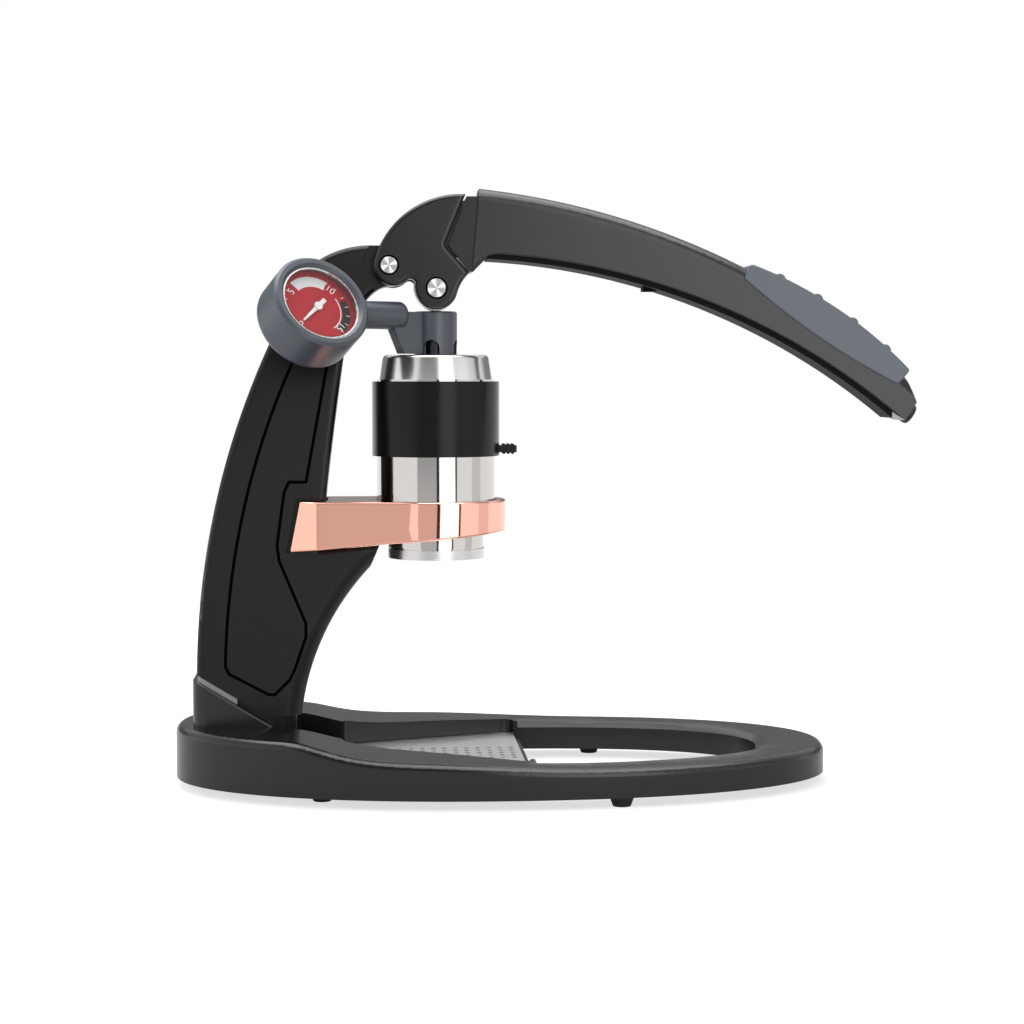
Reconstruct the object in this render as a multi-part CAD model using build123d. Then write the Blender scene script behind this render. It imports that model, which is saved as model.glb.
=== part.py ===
"""Lever espresso machine: open ring base, curved post, copper holder, brew cylinder and long press lever.

Millimetres. X runs along the lever towards the tip of its handle, Y across the base, Z up.
The origin is on the floor, in the middle of the machine's length and width.
The machine is modelled at the end of a shot: the lever is down and the piston at the bottom.
"""

import os
from math import asin, copysign, cos, degrees, hypot, pi, radians, sin, sqrt, tan

from build123d import *

# Whole machine
overall_length = 370.0
base_length = 323.0
base_width = 164.0
base_outline_exponent = 2.2
outline_points = 28
brew_setback = 128.5
overrun = 2.0
running_gap = 0.05
loose_gap = 0.35

# Feet
foot_height = 4.7
foot_top_radius = 6.0
foot_bottom_radius = 4.25
front_foot_setback = 212.8
front_foot_spread = 72.0
rear_foot_setback = 72.4
rear_foot_spread = 50.0

# Base ring
base_rear_height = 26.0
base_front_height = 14.0
deck_fall_start = 53.0
deck_fall_run = 162.0
deck_fall_shares = ((0.167, 0.583), (0.451, 0.258))
base_edge_radius = 4.0
opening_setback = 164.0
opening_half_length = 125.0
opening_half_width = 57.0
opening_exponent = 2.3
opening_slope_width = 7.0
opening_slope_drop = 2.6

# Tray recess in the base
recess_floor = 2.4
recess_rear_setback = 82.0
recess_front_setback = 171.0
recess_rear_width = 62.0
recess_front_width = 127.0
recess_corner = 4.0
recess_bar = 2.2
channel_length = 23.0
channel_width = 52.0

# Drip tray
tray_height = 6.0
tray_sheet = 1.2
tray_side_gap = 0.6
tray_hole_radius = 1.5
tray_hole_sides = 6
tray_hole_pitch = 5.6
tray_row_pitch = 6.8
tray_columns = 11
tray_rows = 5
tray_field_setback = 138.5
tray_slot_length = 17.0
tray_slot_width = 3.0
tray_slot_offset = 25.0

# Post socket on the base
socket_setback = 9.0
socket_length = 48.0
socket_width = 42.0
socket_corner = 9.0
socket_drop = 2.7
socket_edge_radius = 1.0

# Post
post_setback = 11.0
post_back_radius = 400.0
post_back_height = 51.0
post_foot_height = 56.0
post_foot_length = 51.0
seat_run = 34.3
seat_slope = 31.2
post_width = 34.0
neck_width = 17.2
taper_start = 146.0
taper_end = 236.0
post_edge_radius = 3.2
shoulder_fall = 10.8
shoulder_reach = 9.0
tang_radius = 10.0
tang_width = 13.0
neck_front_setback = 83.8
neck_front_drop = 40.9
neck_lean = 9.0
neck_front_pull = 13.0
neck_under_pull = 10.0
post_front_setback = 71.9
post_front_bow = 0.7
shelf_length = 28.8
nose_drop = 12.0
nose_setback = 5.0
gusset_mid_setback = 77.8
gusset_mid_height = 83.4
gusset_edge_radius = 9.0

# Side panel of the post
groove_width = 1.5
groove_depth = 0.8
panel_back_inset = 13.3
panel_top_drop = 22.0
panel_front_inset = 6.5
panel_low_shares = ((0.263, 0.517), (0.30, 0.482), (0.68, 0.392), (0.75, 0.39), (0.90, 0.455), (0.95, 0.50))
panel_waist_shares = ((1.06, 0.64), (1.06, 0.70), (0.81, 0.965), (0.79, 1.03), (0.86, 1.25), (0.90, 1.29))

# Tenon under the post
tenon_width = 26.0
tenon_back_inset = 6.0
tenon_front_inset = 3.0
tenon_floor = 9.0
tenon_groove_radius = 0.5
tenon_groove_pitch = 1.7
tenon_grooves = 3
shim_length = 19.0
shim_inset = 0.7
shim_gap = 0.2

# Post screws
screw_radius = 2.5
screw_head_radius = 4.4
screw_head_height = 3.2
screw_sink = 0.6
screw_length = 14.0
screw_spacing = 24.0
screw_key_radius = 1.7
screw_key_depth = 1.8
screw_key_sides = 6

# Holder
holder_seat_height = 115.5
holder_top_height = 140.5
holder_slope = 5.3
holder_ring_radius = 34.6
holder_arm_width = 54.0
holder_fork_width = 28.0
holder_arm_reach = 71.5
holder_end_lean = 5.0
holder_end_width = 38.5
holder_nose_reach = 58.6
holder_hip_reach = 24.3
holder_cheek_reach = 10.2
holder_edge_radius = 1.1
holder_lip = 4.4
holder_ring_thickness = 18.4
arm_pocket_gap = 2.2
arm_top_gap = 1.2

# Portafilter
spout_radius = 23.8
spout_drop = 10.5
spout_ring_height = 4.6
spout_groove_height = 0.9
spout_groove_depth = 0.8
spout_hole_radius = 4.0
spout_dish_radius = 19.0
spout_dish_wall = 1.6
portafilter_rim = 10.0
portafilter_bore = 20.0
portafilter_ledge = 3.0

# Basket and screen
basket_radius = 22.2
basket_sheet = 0.8
basket_depth = 13.5
basket_lip = 1.8
basket_hole_radius = 0.7
basket_hole_pitch = 4.6
basket_rings = 3
screen_thickness = 1.0
screen_radius = 22.8
screen_hole_radius = 0.8
screen_hole_pitch = 5.2
screen_rings = 3
strainer_sides = 6
seal_width = 4.6

# Brew cylinder
cylinder_radius = 29.4
cylinder_bore = 23.0
cylinder_height = 62.0
cap_height = 12.0
cap_top_radius = 22.0
cap_bulge = 1.6
cap_spigot = 4.0
sleeve_thickness = 2.0
sleeve_height = 36.6
sleeve_top_drop = 0.9
tab_length = 8.6
tab_width = 9.0
tab_thickness = 3.4
tab_ribs = 3
tab_rib_radius = 0.9
tab_rise = 1.6

# Piston
piston_clearance = 0.4
piston_height = 17.0
piston_rest_gap = 0.5
seal_wire = 1.5
seal_squash = 0.07
seal_pitch = 8.0
seal_inset = 4.5
rod_radius = 6.0
rod_top_inset = 7.0

# Stem
stem_radius = 10.6
stem_bore = 8.4
stem_rise = 21.4
stem_head = 6.5
stem_edge = 0.7
slot_width = 8.0
slot_rise = 7.4
slot_sink = 16.0
slot_count = 4
slot_turn = 45.0
guide_height = 5.0
web_thickness = 7.0
web_top_reach = 19.5
web_low_reach = 25.6
web_foot_reach = 20.2
web_lift = 0.6
web_drop = 0.4

# Gauge
gauge_swing = 31.0
gauge_tilt = 30.0
gauge_reach = 70.0
gauge_drop = 2.3
tube_radius = 6.75
tube_start = 18.5
tube_end_radius = 3.2
gauge_radius = 24.5
gauge_depth = 24.0
gauge_wall = 3.2
gauge_back_edge = 4.2
gauge_front_edge = 1.4
gauge_window_radius = 19.6
gauge_lip = 5.2
bezel_width = 0.8
bezel_height = 1.4
lens_thickness = 1.6
lens_inset = 1.6
dial_inset = 7.0
dial_thickness = 0.8
needle_length = 12.5
needle_tail = 6.0
needle_root_width = 2.2
needle_tip_width = 0.9
needle_thickness = 0.5
needle_hub_radius = 2.1
needle_lift = 1.0
needle_zero = 218.0
spindle_radius = 0.7
movement_length = 16.0
movement_width = 9.0
movement_height = 4.0
bourdon_radius = 14.5
bourdon_wire = 1.4
bourdon_sweep = 240.0

# Lever head
press_arm = 25.6
press_angle = 25.5
roller_radius = 10.7
roller_gap = 0.35
head_width = 30.0
head_gap = 18.0
crown_radius = 44.2
crown_ahead = 35.4
crown_drop = 9.6
crown_wall = 5.0
crown_start = 135.0
head_top_ahead = 37.4
pivot_lobe_ahead = 2.0
pivot_lobe_drop = 0.5
press_lobe_radius = 10.4
press_lobe_end = 15.0
lobe_gap_radius = 2.5
chin_ahead = 39.2
chin_drop = 3.6
notch_ahead = 27.2
notch_rise = 9.8
notch_corner = 2.6
head_edge_radius = 2.2
pivot_pin_radius = 4.05
press_pin_radius = 4.5
pin_proud = 0.15
pin_ring = 0.6
bushing_wall = 2.0
washer_radius = 8.0

# Handle
handle_root_width = 30.0
handle_tip_width = 26.0
handle_top_radius = 384.3
handle_top_ahead = 5.2
handle_top_drop = 344.8
handle_low_radius = 345.6
handle_low_ahead = 31.5
handle_low_drop = 339.6
handle_root_ahead = 44.2
handle_chin_ahead = 40.5
handle_throat = 14.0
handle_end_slope = 32.5
handle_end_height = 10.6
handle_end_corner = 9.0
handle_top_edge = 6.5
handle_low_edge = 1.0
tongue_reach = 16.0
tongue_top_drop = 4.0
tongue_low_rise = 6.0
tongue_crown_gap = 0.6
collar_width = 25.0
collar_gap = 0.5

# Strip under the handle
strip_depth = 3.0
strip_proud = 2.4
strip_side_inset = 1.2
strip_start = 48.0
strip_end = 249.5
strip_end_radius = 2.6
strip_edge_radius = 0.9
nub_ahead = 129.0
nub_length = 7.0
nub_drop = 1.4
nub_width = 8.0

# Grip and end plug
grip_start_turn = 26.5
grip_peak_turn = 33.2
grip_end_turn = 40.7
grip_start_rise = 2.5
grip_peak_rise = 5.3
grip_end_rise = 3.4
grip_start_skirt = 5.6
grip_peak_skirt = 11.7
grip_end_skirt = 6.0
grip_skin = 1.1
grip_edge_radius = 0.9
ridge_count = 4
ridge_first_turn = 28.9
ridge_turn = 3.13
ridge_radius = 3.0
ridge_rise = 1.1
ridge_skirt = 4.5
plug_height = 4.3
plug_radius = 5.3
plug_edge = 1.8

# Places and heights worked out from the sizes
base_back = -overall_length / 2
base_middle = base_back + base_length / 2
brew_x = base_back + brew_setback
underside = foot_height
deck_rear = underside + base_rear_height
deck_front = underside + base_front_height
opening_x = base_back + opening_setback
recess_z = underside + recess_floor
recess_rear_x = base_back + recess_rear_setback
recess_front_x = base_back + recess_front_setback
tray_top = recess_z + tray_height
socket_x = base_back + socket_setback
post_back = base_back + post_setback
post_foot_front = post_back + post_foot_length
seat_low = post_foot_height - seat_run * tan(radians(seat_slope))
tenon_z = underside + tenon_floor
holder_end_x = brew_x - holder_arm_reach
post_front_x = base_back + post_front_setback
ring_bottom = holder_top_height - holder_ring_thickness
portafilter_seat = ring_bottom + holder_lip
rim_top = portafilter_seat + portafilter_rim
spout_bottom = ring_bottom - spout_drop
portafilter_bottom = spout_bottom + spout_ring_height
cylinder_bottom = rim_top + screen_thickness
cylinder_top = cylinder_bottom + cylinder_height
cap_top = cylinder_top + cap_height
stem_top = cap_top + stem_rise
piston_bottom = cylinder_bottom + piston_rest_gap
piston_top = piston_bottom + piston_height
press_z = stem_top + roller_gap + roller_radius
pivot_z = press_z + press_arm * sin(radians(press_angle))
pivot_x = brew_x - press_arm * cos(radians(press_angle))
shoulder_top = pivot_z + tang_radius
gauge_z = stem_top - gauge_drop
neck_front_x = base_back + neck_front_setback
neck_front_z = pivot_z - neck_front_drop
swing_x = cos(radians(gauge_swing))
swing_y = sin(radians(gauge_swing))
tilt_out = cos(radians(gauge_tilt))
tilt_up = sin(radians(gauge_tilt))
gauge_plane = Plane(
    origin=(brew_x - gauge_reach * swing_x, -gauge_reach * swing_y, gauge_z),
    x_dir=(swing_x, swing_y, 0),
    z_dir=(tilt_out * swing_y, -tilt_out * swing_x, tilt_up),
)
stem_plane = Plane(origin=(brew_x, 0, 0), x_dir=(-swing_x, -swing_y, 0), z_dir=(-swing_y, swing_x, 0))


def side_slab(edges, width):
    """Solid across the machine's middle plane, from edges drawn as (x, z)."""
    return extrude(Plane.XZ * make_face(edges), amount=width / 2, both=True)


def side_rod(x, z, radius, length):
    """Round bar across the machine, centred on its middle plane."""
    return Pos(x, 0, z) * Rot(90, 0, 0) * Cylinder(radius, length)


def block(low_x, high_x, width, low_z, high_z):
    """Block that is centred on the middle plane."""
    size_x = high_x - low_x
    size_z = high_z - low_z
    return Pos(low_x + size_x / 2, 0, low_z + size_z / 2) * Box(size_x, width, size_z)


def turned(points, x=brew_x):
    """Solid of revolution about a vertical axis, from a closed outline of (radius, z) points."""
    return Pos(x, 0, 0) * revolve(Plane.XZ * make_face(Polyline(*points, close=True)), Axis.Z)


def ring(inner, outer, low_z, high_z):
    """Plain ring about the brew axis."""
    return turned([(inner, low_z), (outer, low_z), (outer, high_z), (inner, high_z)])


def oval_face(center_x, half_x, half_y, exponent):
    """Plan face of a superellipse, flat on z = 0."""
    points = []
    for step in range(outline_points):
        turn = 2 * pi * step / outline_points
        along = copysign(abs(cos(turn)) ** (2 / exponent), cos(turn))
        across = copysign(abs(sin(turn)) ** (2 / exponent), sin(turn))
        points.append((center_x + half_x * along, half_y * across))
    return make_face(Spline(*points, periodic=True))


def plan_prism(points, low_z, high_z, corner=0.0):
    """Upright prism from a closed plan outline, with its upright corners rounded."""
    face = make_face(Polyline(*points, close=True))
    if corner > 0:
        face = fillet(face.vertices(), corner)
    return Pos(0, 0, low_z) * extrude(face, amount=high_z - low_z)


def lever_point(ahead, rise):
    """Point of the lever in the side view, from the pivot."""
    return (pivot_x + ahead, pivot_z + rise)


def seat_height(x):
    """Height of the post's slanted foot at x."""
    return post_foot_height - (x - post_back) * tan(radians(seat_slope))


def shelf_height(x):
    """Height at x of the sloping plane where the holder rests on the post."""
    return holder_seat_height + (x - holder_end_x) * tan(radians(holder_slope))


def post_back_x(z, inset=0.0):
    """Back edge of the post at a height, moved in by an inset."""
    radius = post_back_radius - inset
    return post_back + post_back_radius - sqrt(radius**2 - (z - post_back_height) ** 2)


def post_front_at(z):
    """Front edge of the post at a height above the shelf, taken as straight up to the neck."""
    shelf_z = shelf_height(post_front_x)
    return post_front_x + (z - shelf_z) * (neck_front_x - post_front_x) / (neck_front_z - shelf_z)


def deck_profile():
    """Side view of the base: high at the rear, falling to the thin front of the ring."""
    start_x = base_back + deck_fall_start
    fall = deck_rear - deck_front
    low_x = base_back - overrun
    high_x = base_back + base_length + overrun
    top = [(start_x, deck_rear)]
    for run_share, height_share in deck_fall_shares:
        top.append((start_x + run_share * deck_fall_run, deck_front + height_share * fall))
    top.append((start_x + deck_fall_run, deck_front))
    return [
        Line((low_x, underside), (low_x, deck_rear)),
        Line((low_x, deck_rear), top[0]),
        Spline(*top, tangents=[(1, 0), (1, 0)]),
        Line(top[-1], (high_x, deck_front)),
        Line((high_x, deck_front), (high_x, underside)),
        Line((high_x, underside), (low_x, underside)),
    ]


def recess_points(gap=0.0):
    """Plan outline of the tray recess, moved in by a gap on each side."""
    rear_half = recess_rear_width / 2 - gap
    front_half = recess_front_width / 2 - gap
    rear_x = recess_rear_x + gap
    return [
        (rear_x, -rear_half),
        (recess_front_x, -front_half),
        (recess_front_x, front_half),
        (rear_x, rear_half),
    ]


def tenon_prism(gap=0.0):
    """Block of the tenon under the post, grown by a gap on each side."""
    low_x = post_back + tenon_back_inset - gap
    high_x = post_foot_front - tenon_front_inset + gap
    return block(low_x, high_x, tenon_width + 2 * gap, tenon_z, post_foot_height)


def socket_solid():
    """Raised socket that takes the post's foot, cut off along the foot's slope."""
    plan = Pos(socket_x + socket_length / 2, 0, underside) * RectangleRounded(
        socket_length, socket_width, socket_corner
    )
    upright = extrude(plan, amount=post_foot_height)
    low_x = socket_x - overrun
    high_x = socket_x + socket_length + overrun
    under = Polyline(
        (low_x, underside),
        (high_x, underside),
        (high_x, seat_height(high_x) - socket_drop),
        (low_x, seat_height(low_x) - socket_drop),
        close=True,
    )
    cup = upright & side_slab(under, socket_width + overrun)
    rim = [edge for edge in cup.faces().sort_by(Axis.Z)[-1].edges()]
    return fillet(rim, socket_edge_radius)


def base_ring():
    """Cast ring with the post socket, the tray recess and the open middle."""
    outline = oval_face(base_middle, base_length / 2, base_width / 2, base_outline_exponent)
    blank = Pos(0, 0, underside) * extrude(outline, amount=base_rear_height)
    body = blank & side_slab(deck_profile(), base_width + overrun)
    crest = [
        edge
        for edge in body.edges()
        if edge.bounding_box().min.Z > underside + overrun and edge.geom_type != GeomType.LINE
    ]
    body = fillet(crest, base_edge_radius)
    body += socket_solid()
    top = deck_rear + post_foot_height
    body -= plan_prism(recess_points(), recess_z, top, recess_corner)
    body -= block(recess_rear_x - channel_length, recess_rear_x + overrun, channel_width, recess_z, top)
    bar_x = recess_front_x + recess_bar
    through = Pos(0, 0, underside - overrun) * extrude(
        oval_face(opening_x, opening_half_length, opening_half_width, opening_exponent), amount=top
    )
    slope = loft(
        [
            Pos(0, 0, deck_front - opening_slope_drop)
            * oval_face(opening_x, opening_half_length, opening_half_width, opening_exponent),
            Pos(0, 0, deck_front + opening_slope_drop)
            * oval_face(
                opening_x,
                opening_half_length + 2 * opening_slope_width,
                opening_half_width + 2 * opening_slope_width,
                opening_exponent,
            ),
        ]
    )
    ahead = block(bar_x, base_back + base_length + overrun, base_width, underside - overrun, top)
    body -= (through + slope) & ahead
    body -= block(
        recess_front_x - overrun, bar_x + overrun, 2 * opening_half_width - overrun, tray_top - tray_sheet, top
    )
    body -= tenon_prism(loose_gap)
    for x in screw_places():
        body -= Pos(x, 0, underside) * Cylinder(
            screw_head_radius + loose_gap,
            screw_head_height + screw_sink,
            align=(Align.CENTER, Align.CENTER, Align.MIN),
        )
        body -= Pos(x, 0, underside) * Cylinder(
            screw_radius + loose_gap, tenon_floor + overrun, align=(Align.CENTER, Align.CENTER, Align.MIN)
        )
    return body


def screw_places():
    """Places along X of the two screws under the post."""
    middle = post_back + post_foot_length / 2
    return (middle - screw_spacing / 2, middle + screw_spacing / 2)


def base_feet():
    """Four tapered rubber feet."""
    foot = Pos(0, 0, foot_height / 2) * Cone(foot_bottom_radius, foot_top_radius, foot_height)
    feet = []
    places = ((front_foot_setback, front_foot_spread), (rear_foot_setback, rear_foot_spread))
    for setback, spread in places:
        for side in (-1, 1):
            feet.append(Pos(base_back + setback, side * spread, 0) * foot)
    return Compound(feet)


def drip_tray():
    """Steel sheet with a turned-down rim and rows of holes, standing on the recess floor."""
    outer = plan_prism(recess_points(tray_side_gap), recess_z, tray_top, recess_corner)
    inner = plan_prism(
        recess_points(tray_side_gap + tray_sheet), recess_z, tray_top - tray_sheet, recess_corner
    )
    front_cut = block(
        recess_front_x - 2 * tray_sheet, recess_front_x, recess_front_width, recess_z, tray_top - tray_sheet
    )
    tray = outer - inner - front_cut
    hole = extrude(RegularPolygon(tray_hole_radius, tray_hole_sides), amount=2 * tray_sheet, both=True)
    field_x = base_back + tray_field_setback
    holes = []
    for column in range(tray_columns):
        for row in range(tray_rows):
            x = field_x + (column - (tray_columns - 1) / 2) * tray_hole_pitch
            y = (row - (tray_rows - 1) / 2) * tray_row_pitch
            holes.append(Pos(x, y, tray_top) * hole)
    slot = extrude(SlotOverall(tray_slot_length, tray_slot_width), amount=2 * tray_sheet, both=True)
    holes.append(Pos(field_x + tray_slot_length, -tray_slot_offset, tray_top) * slot)
    return tray - holes


def post_screws():
    """Two socket screws that pull the post into its socket."""
    screws = []
    head_z = underside + screw_sink
    key = extrude(RegularPolygon(screw_key_radius, screw_key_sides), amount=screw_key_depth)
    for x in screw_places():
        head = Pos(x, 0, head_z) * Cylinder(
            screw_head_radius, screw_head_height, align=(Align.CENTER, Align.CENTER, Align.MIN)
        )
        shank = Pos(x, 0, head_z + screw_head_height) * Cylinder(
            screw_radius, screw_length, align=(Align.CENTER, Align.CENTER, Align.MIN)
        )
        screws.append(head + shank - Pos(x, 0, head_z) * key)
    return Compound(screws)


def post_outline():
    """Side view of the post, from its slanted foot to the tang that holds the pivot."""
    foot_back = (post_back_x(post_foot_height), post_foot_height)
    start_z = shoulder_top - shoulder_fall
    shoulder_start = (post_back_x(start_z), start_z)
    back_z = (post_foot_height + start_z) / 2
    shoulder_end = (pivot_x - shoulder_reach, shoulder_top)
    tang_top = (pivot_x, pivot_z + tang_radius)
    tang_front = (pivot_x + tang_radius, pivot_z)
    tang_low = (pivot_x, pivot_z - tang_radius)
    neck = (neck_front_x, neck_front_z)
    pull_x = neck_front_x + neck_front_pull * sin(radians(neck_lean))
    pull_z = neck_front_z + neck_front_pull * cos(radians(neck_lean))
    shelf_rear = (post_front_x, shelf_height(post_front_x))
    front_mid = ((neck[0] + shelf_rear[0]) / 2 - post_front_bow, (neck[1] + shelf_rear[1]) / 2)
    nose_x = post_front_x + shelf_length
    nose = (nose_x, shelf_height(nose_x))
    chin = (nose_x - nose_setback, nose[1] - nose_drop)
    foot_front = (post_foot_front, seat_low)
    foot_bend = (post_back + seat_run, seat_low)
    return [
        ThreePointArc(foot_back, (post_back_x(back_z), back_z), shoulder_start),
        TangentArc(shoulder_end, shoulder_start, tangent=(-1, 0)),
        Line(shoulder_end, tang_top),
        ThreePointArc(tang_top, tang_front, tang_low),
        Bezier(tang_low, (tang_low[0] - neck_under_pull, tang_low[1]), (pull_x, pull_z), neck),
        ThreePointArc(neck, front_mid, shelf_rear),
        Line(shelf_rear, nose),
        Line(nose, chin),
        ThreePointArc(chin, (base_back + gusset_mid_setback, gusset_mid_height), foot_front),
        Line(foot_front, foot_bend),
        Line(foot_bend, foot_back),
    ]


def post_envelope(inset=0.0):
    """The post's thickness seen from the front: full below, drawn in to the neck above."""
    low_half = post_width / 2 - inset
    high_half = neck_width / 2 - inset
    rise = (taper_end - taper_start) / 3
    top_z = shoulder_top + overrun
    right = Bezier(
        (low_half, taper_start),
        (low_half, taper_start + rise),
        (high_half, taper_end - rise),
        (high_half, taper_end),
    )
    left = Bezier(
        (-high_half, taper_end),
        (-high_half, taper_end - rise),
        (-low_half, taper_start + rise),
        (-low_half, taper_start),
    )
    face = make_face(
        [
            Line((-low_half, 0), (low_half, 0)),
            Line((low_half, 0), (low_half, taper_start)),
            right,
            Line((high_half, taper_end), (high_half, top_z)),
            Line((high_half, top_z), (-high_half, top_z)),
            Line((-high_half, top_z), (-high_half, taper_end)),
            left,
            Line((-low_half, taper_start), (-low_half, 0)),
        ]
    )
    return Pos(base_back, 0, 0) * extrude(Plane.YZ * face, amount=overall_length / 2)


def panel_outline():
    """Side view of the flat panel on the post's flank."""
    top_z = pivot_z - panel_top_drop
    low = [(post_back + x * post_foot_length, z * holder_seat_height) for x, z in panel_low_shares]
    waist = [(post_back + x * post_foot_length, z * holder_seat_height) for x, z in panel_waist_shares]
    back_low = (post_back_x(low[0][1], panel_back_inset), low[0][1])
    back_mid_z = (back_low[1] + top_z) / 2
    back_top = (post_back_x(top_z, panel_back_inset), top_z)
    front_low = (post_front_x - panel_front_inset, waist[-1][1])
    front_top = (neck_front_x - panel_front_inset, neck_front_z)
    return [
        ThreePointArc(back_top, (post_back_x(back_mid_z, panel_back_inset), back_mid_z), back_low),
        Polyline(back_low, *low[1:], *waist, front_low, front_top, back_top),
    ]


def arm_pocket():
    """Space cut into the post's flanks for the two arms of the holder."""
    rear_low = holder_end_x - arm_pocket_gap
    rear_high = holder_end_x + holder_end_lean - arm_pocket_gap
    front = post_front_x + shelf_length
    top_z = holder_top_height + arm_top_gap
    outline = Polyline(
        (rear_low, shelf_height(rear_low)),
        (front, shelf_height(front)),
        (front, top_z),
        (rear_high, top_z),
        close=True,
    )
    return side_slab(outline, post_width + overrun) - side_slab(outline, holder_fork_width)


def post():
    """Cast post with its panel groove, arm pockets, tang and foot tenon."""
    body = side_slab(post_outline(), post_width) & post_envelope()
    body = round_post(body)
    shoulder_clear = hypot(shoulder_reach, tang_radius)
    tang_cut = side_rod(pivot_x, pivot_z, shoulder_clear, post_width) - side_rod(
        pivot_x, pivot_z, shoulder_clear, tang_width
    )
    body -= tang_cut
    face = make_face(panel_outline())
    inner = offset(face, -groove_width)
    groove = extrude(Plane.XZ * (face - inner), amount=post_width, both=True)
    body -= groove - post_envelope(groove_depth)
    body -= arm_pocket()
    body -= side_rod(pivot_x, pivot_z, pivot_pin_radius + running_gap + bushing_wall, post_width)
    foot = Polyline(
        (post_back, tenon_z),
        (post_foot_front, tenon_z),
        (post_foot_front, seat_low + overrun),
        (post_back + seat_run, seat_low + overrun),
        (post_back, post_foot_height + overrun),
        close=True,
    )
    tenon = tenon_prism() & side_slab(foot, tenon_width)
    tenon_front = post_foot_front - tenon_front_inset
    for number in range(tenon_grooves):
        for side in (-1, 1):
            x = tenon_front - tenon_groove_pitch * (number + 0.5)
            tenon -= Pos(x, side * tenon_width / 2, tenon_z) * Cylinder(
                tenon_groove_radius, post_foot_height, align=(Align.CENTER, Align.CENTER, Align.MIN)
            )
    body += tenon
    for x in screw_places():
        body -= Pos(x, 0, tenon_z - overrun) * Cylinder(
            screw_radius, screw_length + overrun, align=(Align.CENTER, Align.CENTER, Align.MIN)
        )
    return body


def round_post(body):
    """Round the long edges of the post: wide on the gusset, narrower elsewhere."""
    shelf = shelf_height(post_front_x)

    def is_outline(edge):
        box = edge.bounding_box()
        return abs(edge.center().Y) > neck_width / 2 - overrun and box.size.Z > overrun

    gusset = [
        edge
        for edge in body.edges()
        if is_outline(edge) and edge.bounding_box().max.Z < shelf and edge.center().X > post_foot_front
    ]
    body = fillet(gusset, gusset_edge_radius)
    long_edges = [
        edge
        for edge in body.edges()
        if is_outline(edge)
        and edge.center().Z > post_foot_height
        and (edge.bounding_box().min.Z > shelf - overrun or edge.center().X < post_back + seat_run)
        and edge.bounding_box().size.Y < post_width / 2
    ]
    return fillet(long_edges, post_edge_radius)


def post_shim():
    """Thin pad between the rear half of the post's foot and the socket's rim."""
    low_x = post_back + shim_inset
    high_x = low_x + shim_length
    outline = Polyline(
        (low_x, seat_height(low_x)),
        (high_x, seat_height(high_x)),
        (high_x, seat_height(high_x) - socket_drop),
        (low_x, seat_height(low_x) - socket_drop),
        close=True,
    )
    pad = side_slab(outline, post_width - 2 * shim_inset)
    return pad - tenon_prism(shim_gap)


def holder_bottom(reach):
    """Height of the holder's sloping underside at a distance behind the brew axis."""
    return shelf_height(brew_x - reach)


def portafilter_holder():
    """Copper-plated ring with a fork that sits on the post's shelf."""
    half_arm = holder_arm_width / 2
    half_end = holder_end_width / 2
    cheek_y = sqrt(holder_ring_radius**2 - holder_cheek_reach**2)
    right = [
        (brew_x - holder_cheek_reach, -cheek_y),
        (brew_x - holder_hip_reach, -half_arm),
        (brew_x - holder_nose_reach, -half_arm),
        (holder_end_x, -half_end),
        (holder_end_x, half_end),
        (brew_x - holder_nose_reach, half_arm),
        (brew_x - holder_hip_reach, half_arm),
        (brew_x - holder_cheek_reach, cheek_y),
    ]
    plan = make_face(
        [Polyline(*right), ThreePointArc(right[-1], (brew_x + holder_ring_radius, 0), right[0])]
    )
    front_x = brew_x + holder_ring_radius + overrun
    side = Polyline(
        (holder_end_x, shelf_height(holder_end_x)),
        (front_x, shelf_height(front_x)),
        (front_x, holder_top_height),
        (holder_end_x + holder_end_lean, holder_top_height),
        close=True,
    )
    body = extrude(plan, amount=holder_top_height)
    body = fillet(body.faces().sort_by(Axis.Z)[-1].outer_wire().edges(), holder_edge_radius)
    body = body & side_slab(side, holder_arm_width + holder_ring_radius)
    low_face = body.faces().sort_by(Axis.Z)[0]
    body = fillet(low_face.outer_wire().edges(), holder_edge_radius)
    slot = Polyline(
        (holder_end_x - overrun, ring_bottom / 2),
        (post_front_at(ring_bottom / 2) + loose_gap, ring_bottom / 2),
        (post_front_at(cylinder_top) + loose_gap, cylinder_top),
        (holder_end_x - overrun, cylinder_top),
        close=True,
    )
    body -= side_slab(slot, holder_fork_width + 2 * loose_gap)
    body -= ring(0, cylinder_radius + loose_gap, portafilter_seat, cylinder_top)
    body -= ring(0, spout_radius + loose_gap, spout_bottom, cylinder_top)
    return body


def portafilter():
    """Steel cup without a floor that hangs in the holder by its rim."""
    top_inner = basket_radius + basket_lip + loose_gap
    wall_inner = basket_radius + loose_gap
    ledge_z = portafilter_bottom + portafilter_ledge
    return turned(
        [
            (portafilter_bore, portafilter_bottom),
            (spout_radius - spout_groove_depth, portafilter_bottom),
            (spout_radius - spout_groove_depth, portafilter_bottom + spout_groove_height),
            (spout_radius, portafilter_bottom + spout_groove_height),
            (spout_radius, portafilter_seat),
            (cylinder_radius, portafilter_seat),
            (cylinder_radius, rim_top),
            (top_inner, rim_top),
            (top_inner, rim_top - basket_sheet),
            (wall_inner, rim_top - basket_sheet),
            (wall_inner, ledge_z),
            (portafilter_bore, ledge_z),
        ]
    )


def spout_ring():
    """Lower lip of the portafilter with a dished floor and one outlet."""
    dish_top = spout_bottom + spout_dish_wall
    return turned(
        [
            (spout_hole_radius, spout_bottom),
            (spout_radius, spout_bottom),
            (spout_radius, portafilter_bottom),
            (spout_dish_radius, portafilter_bottom),
            (spout_hole_radius, dish_top),
        ]
    )


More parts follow.
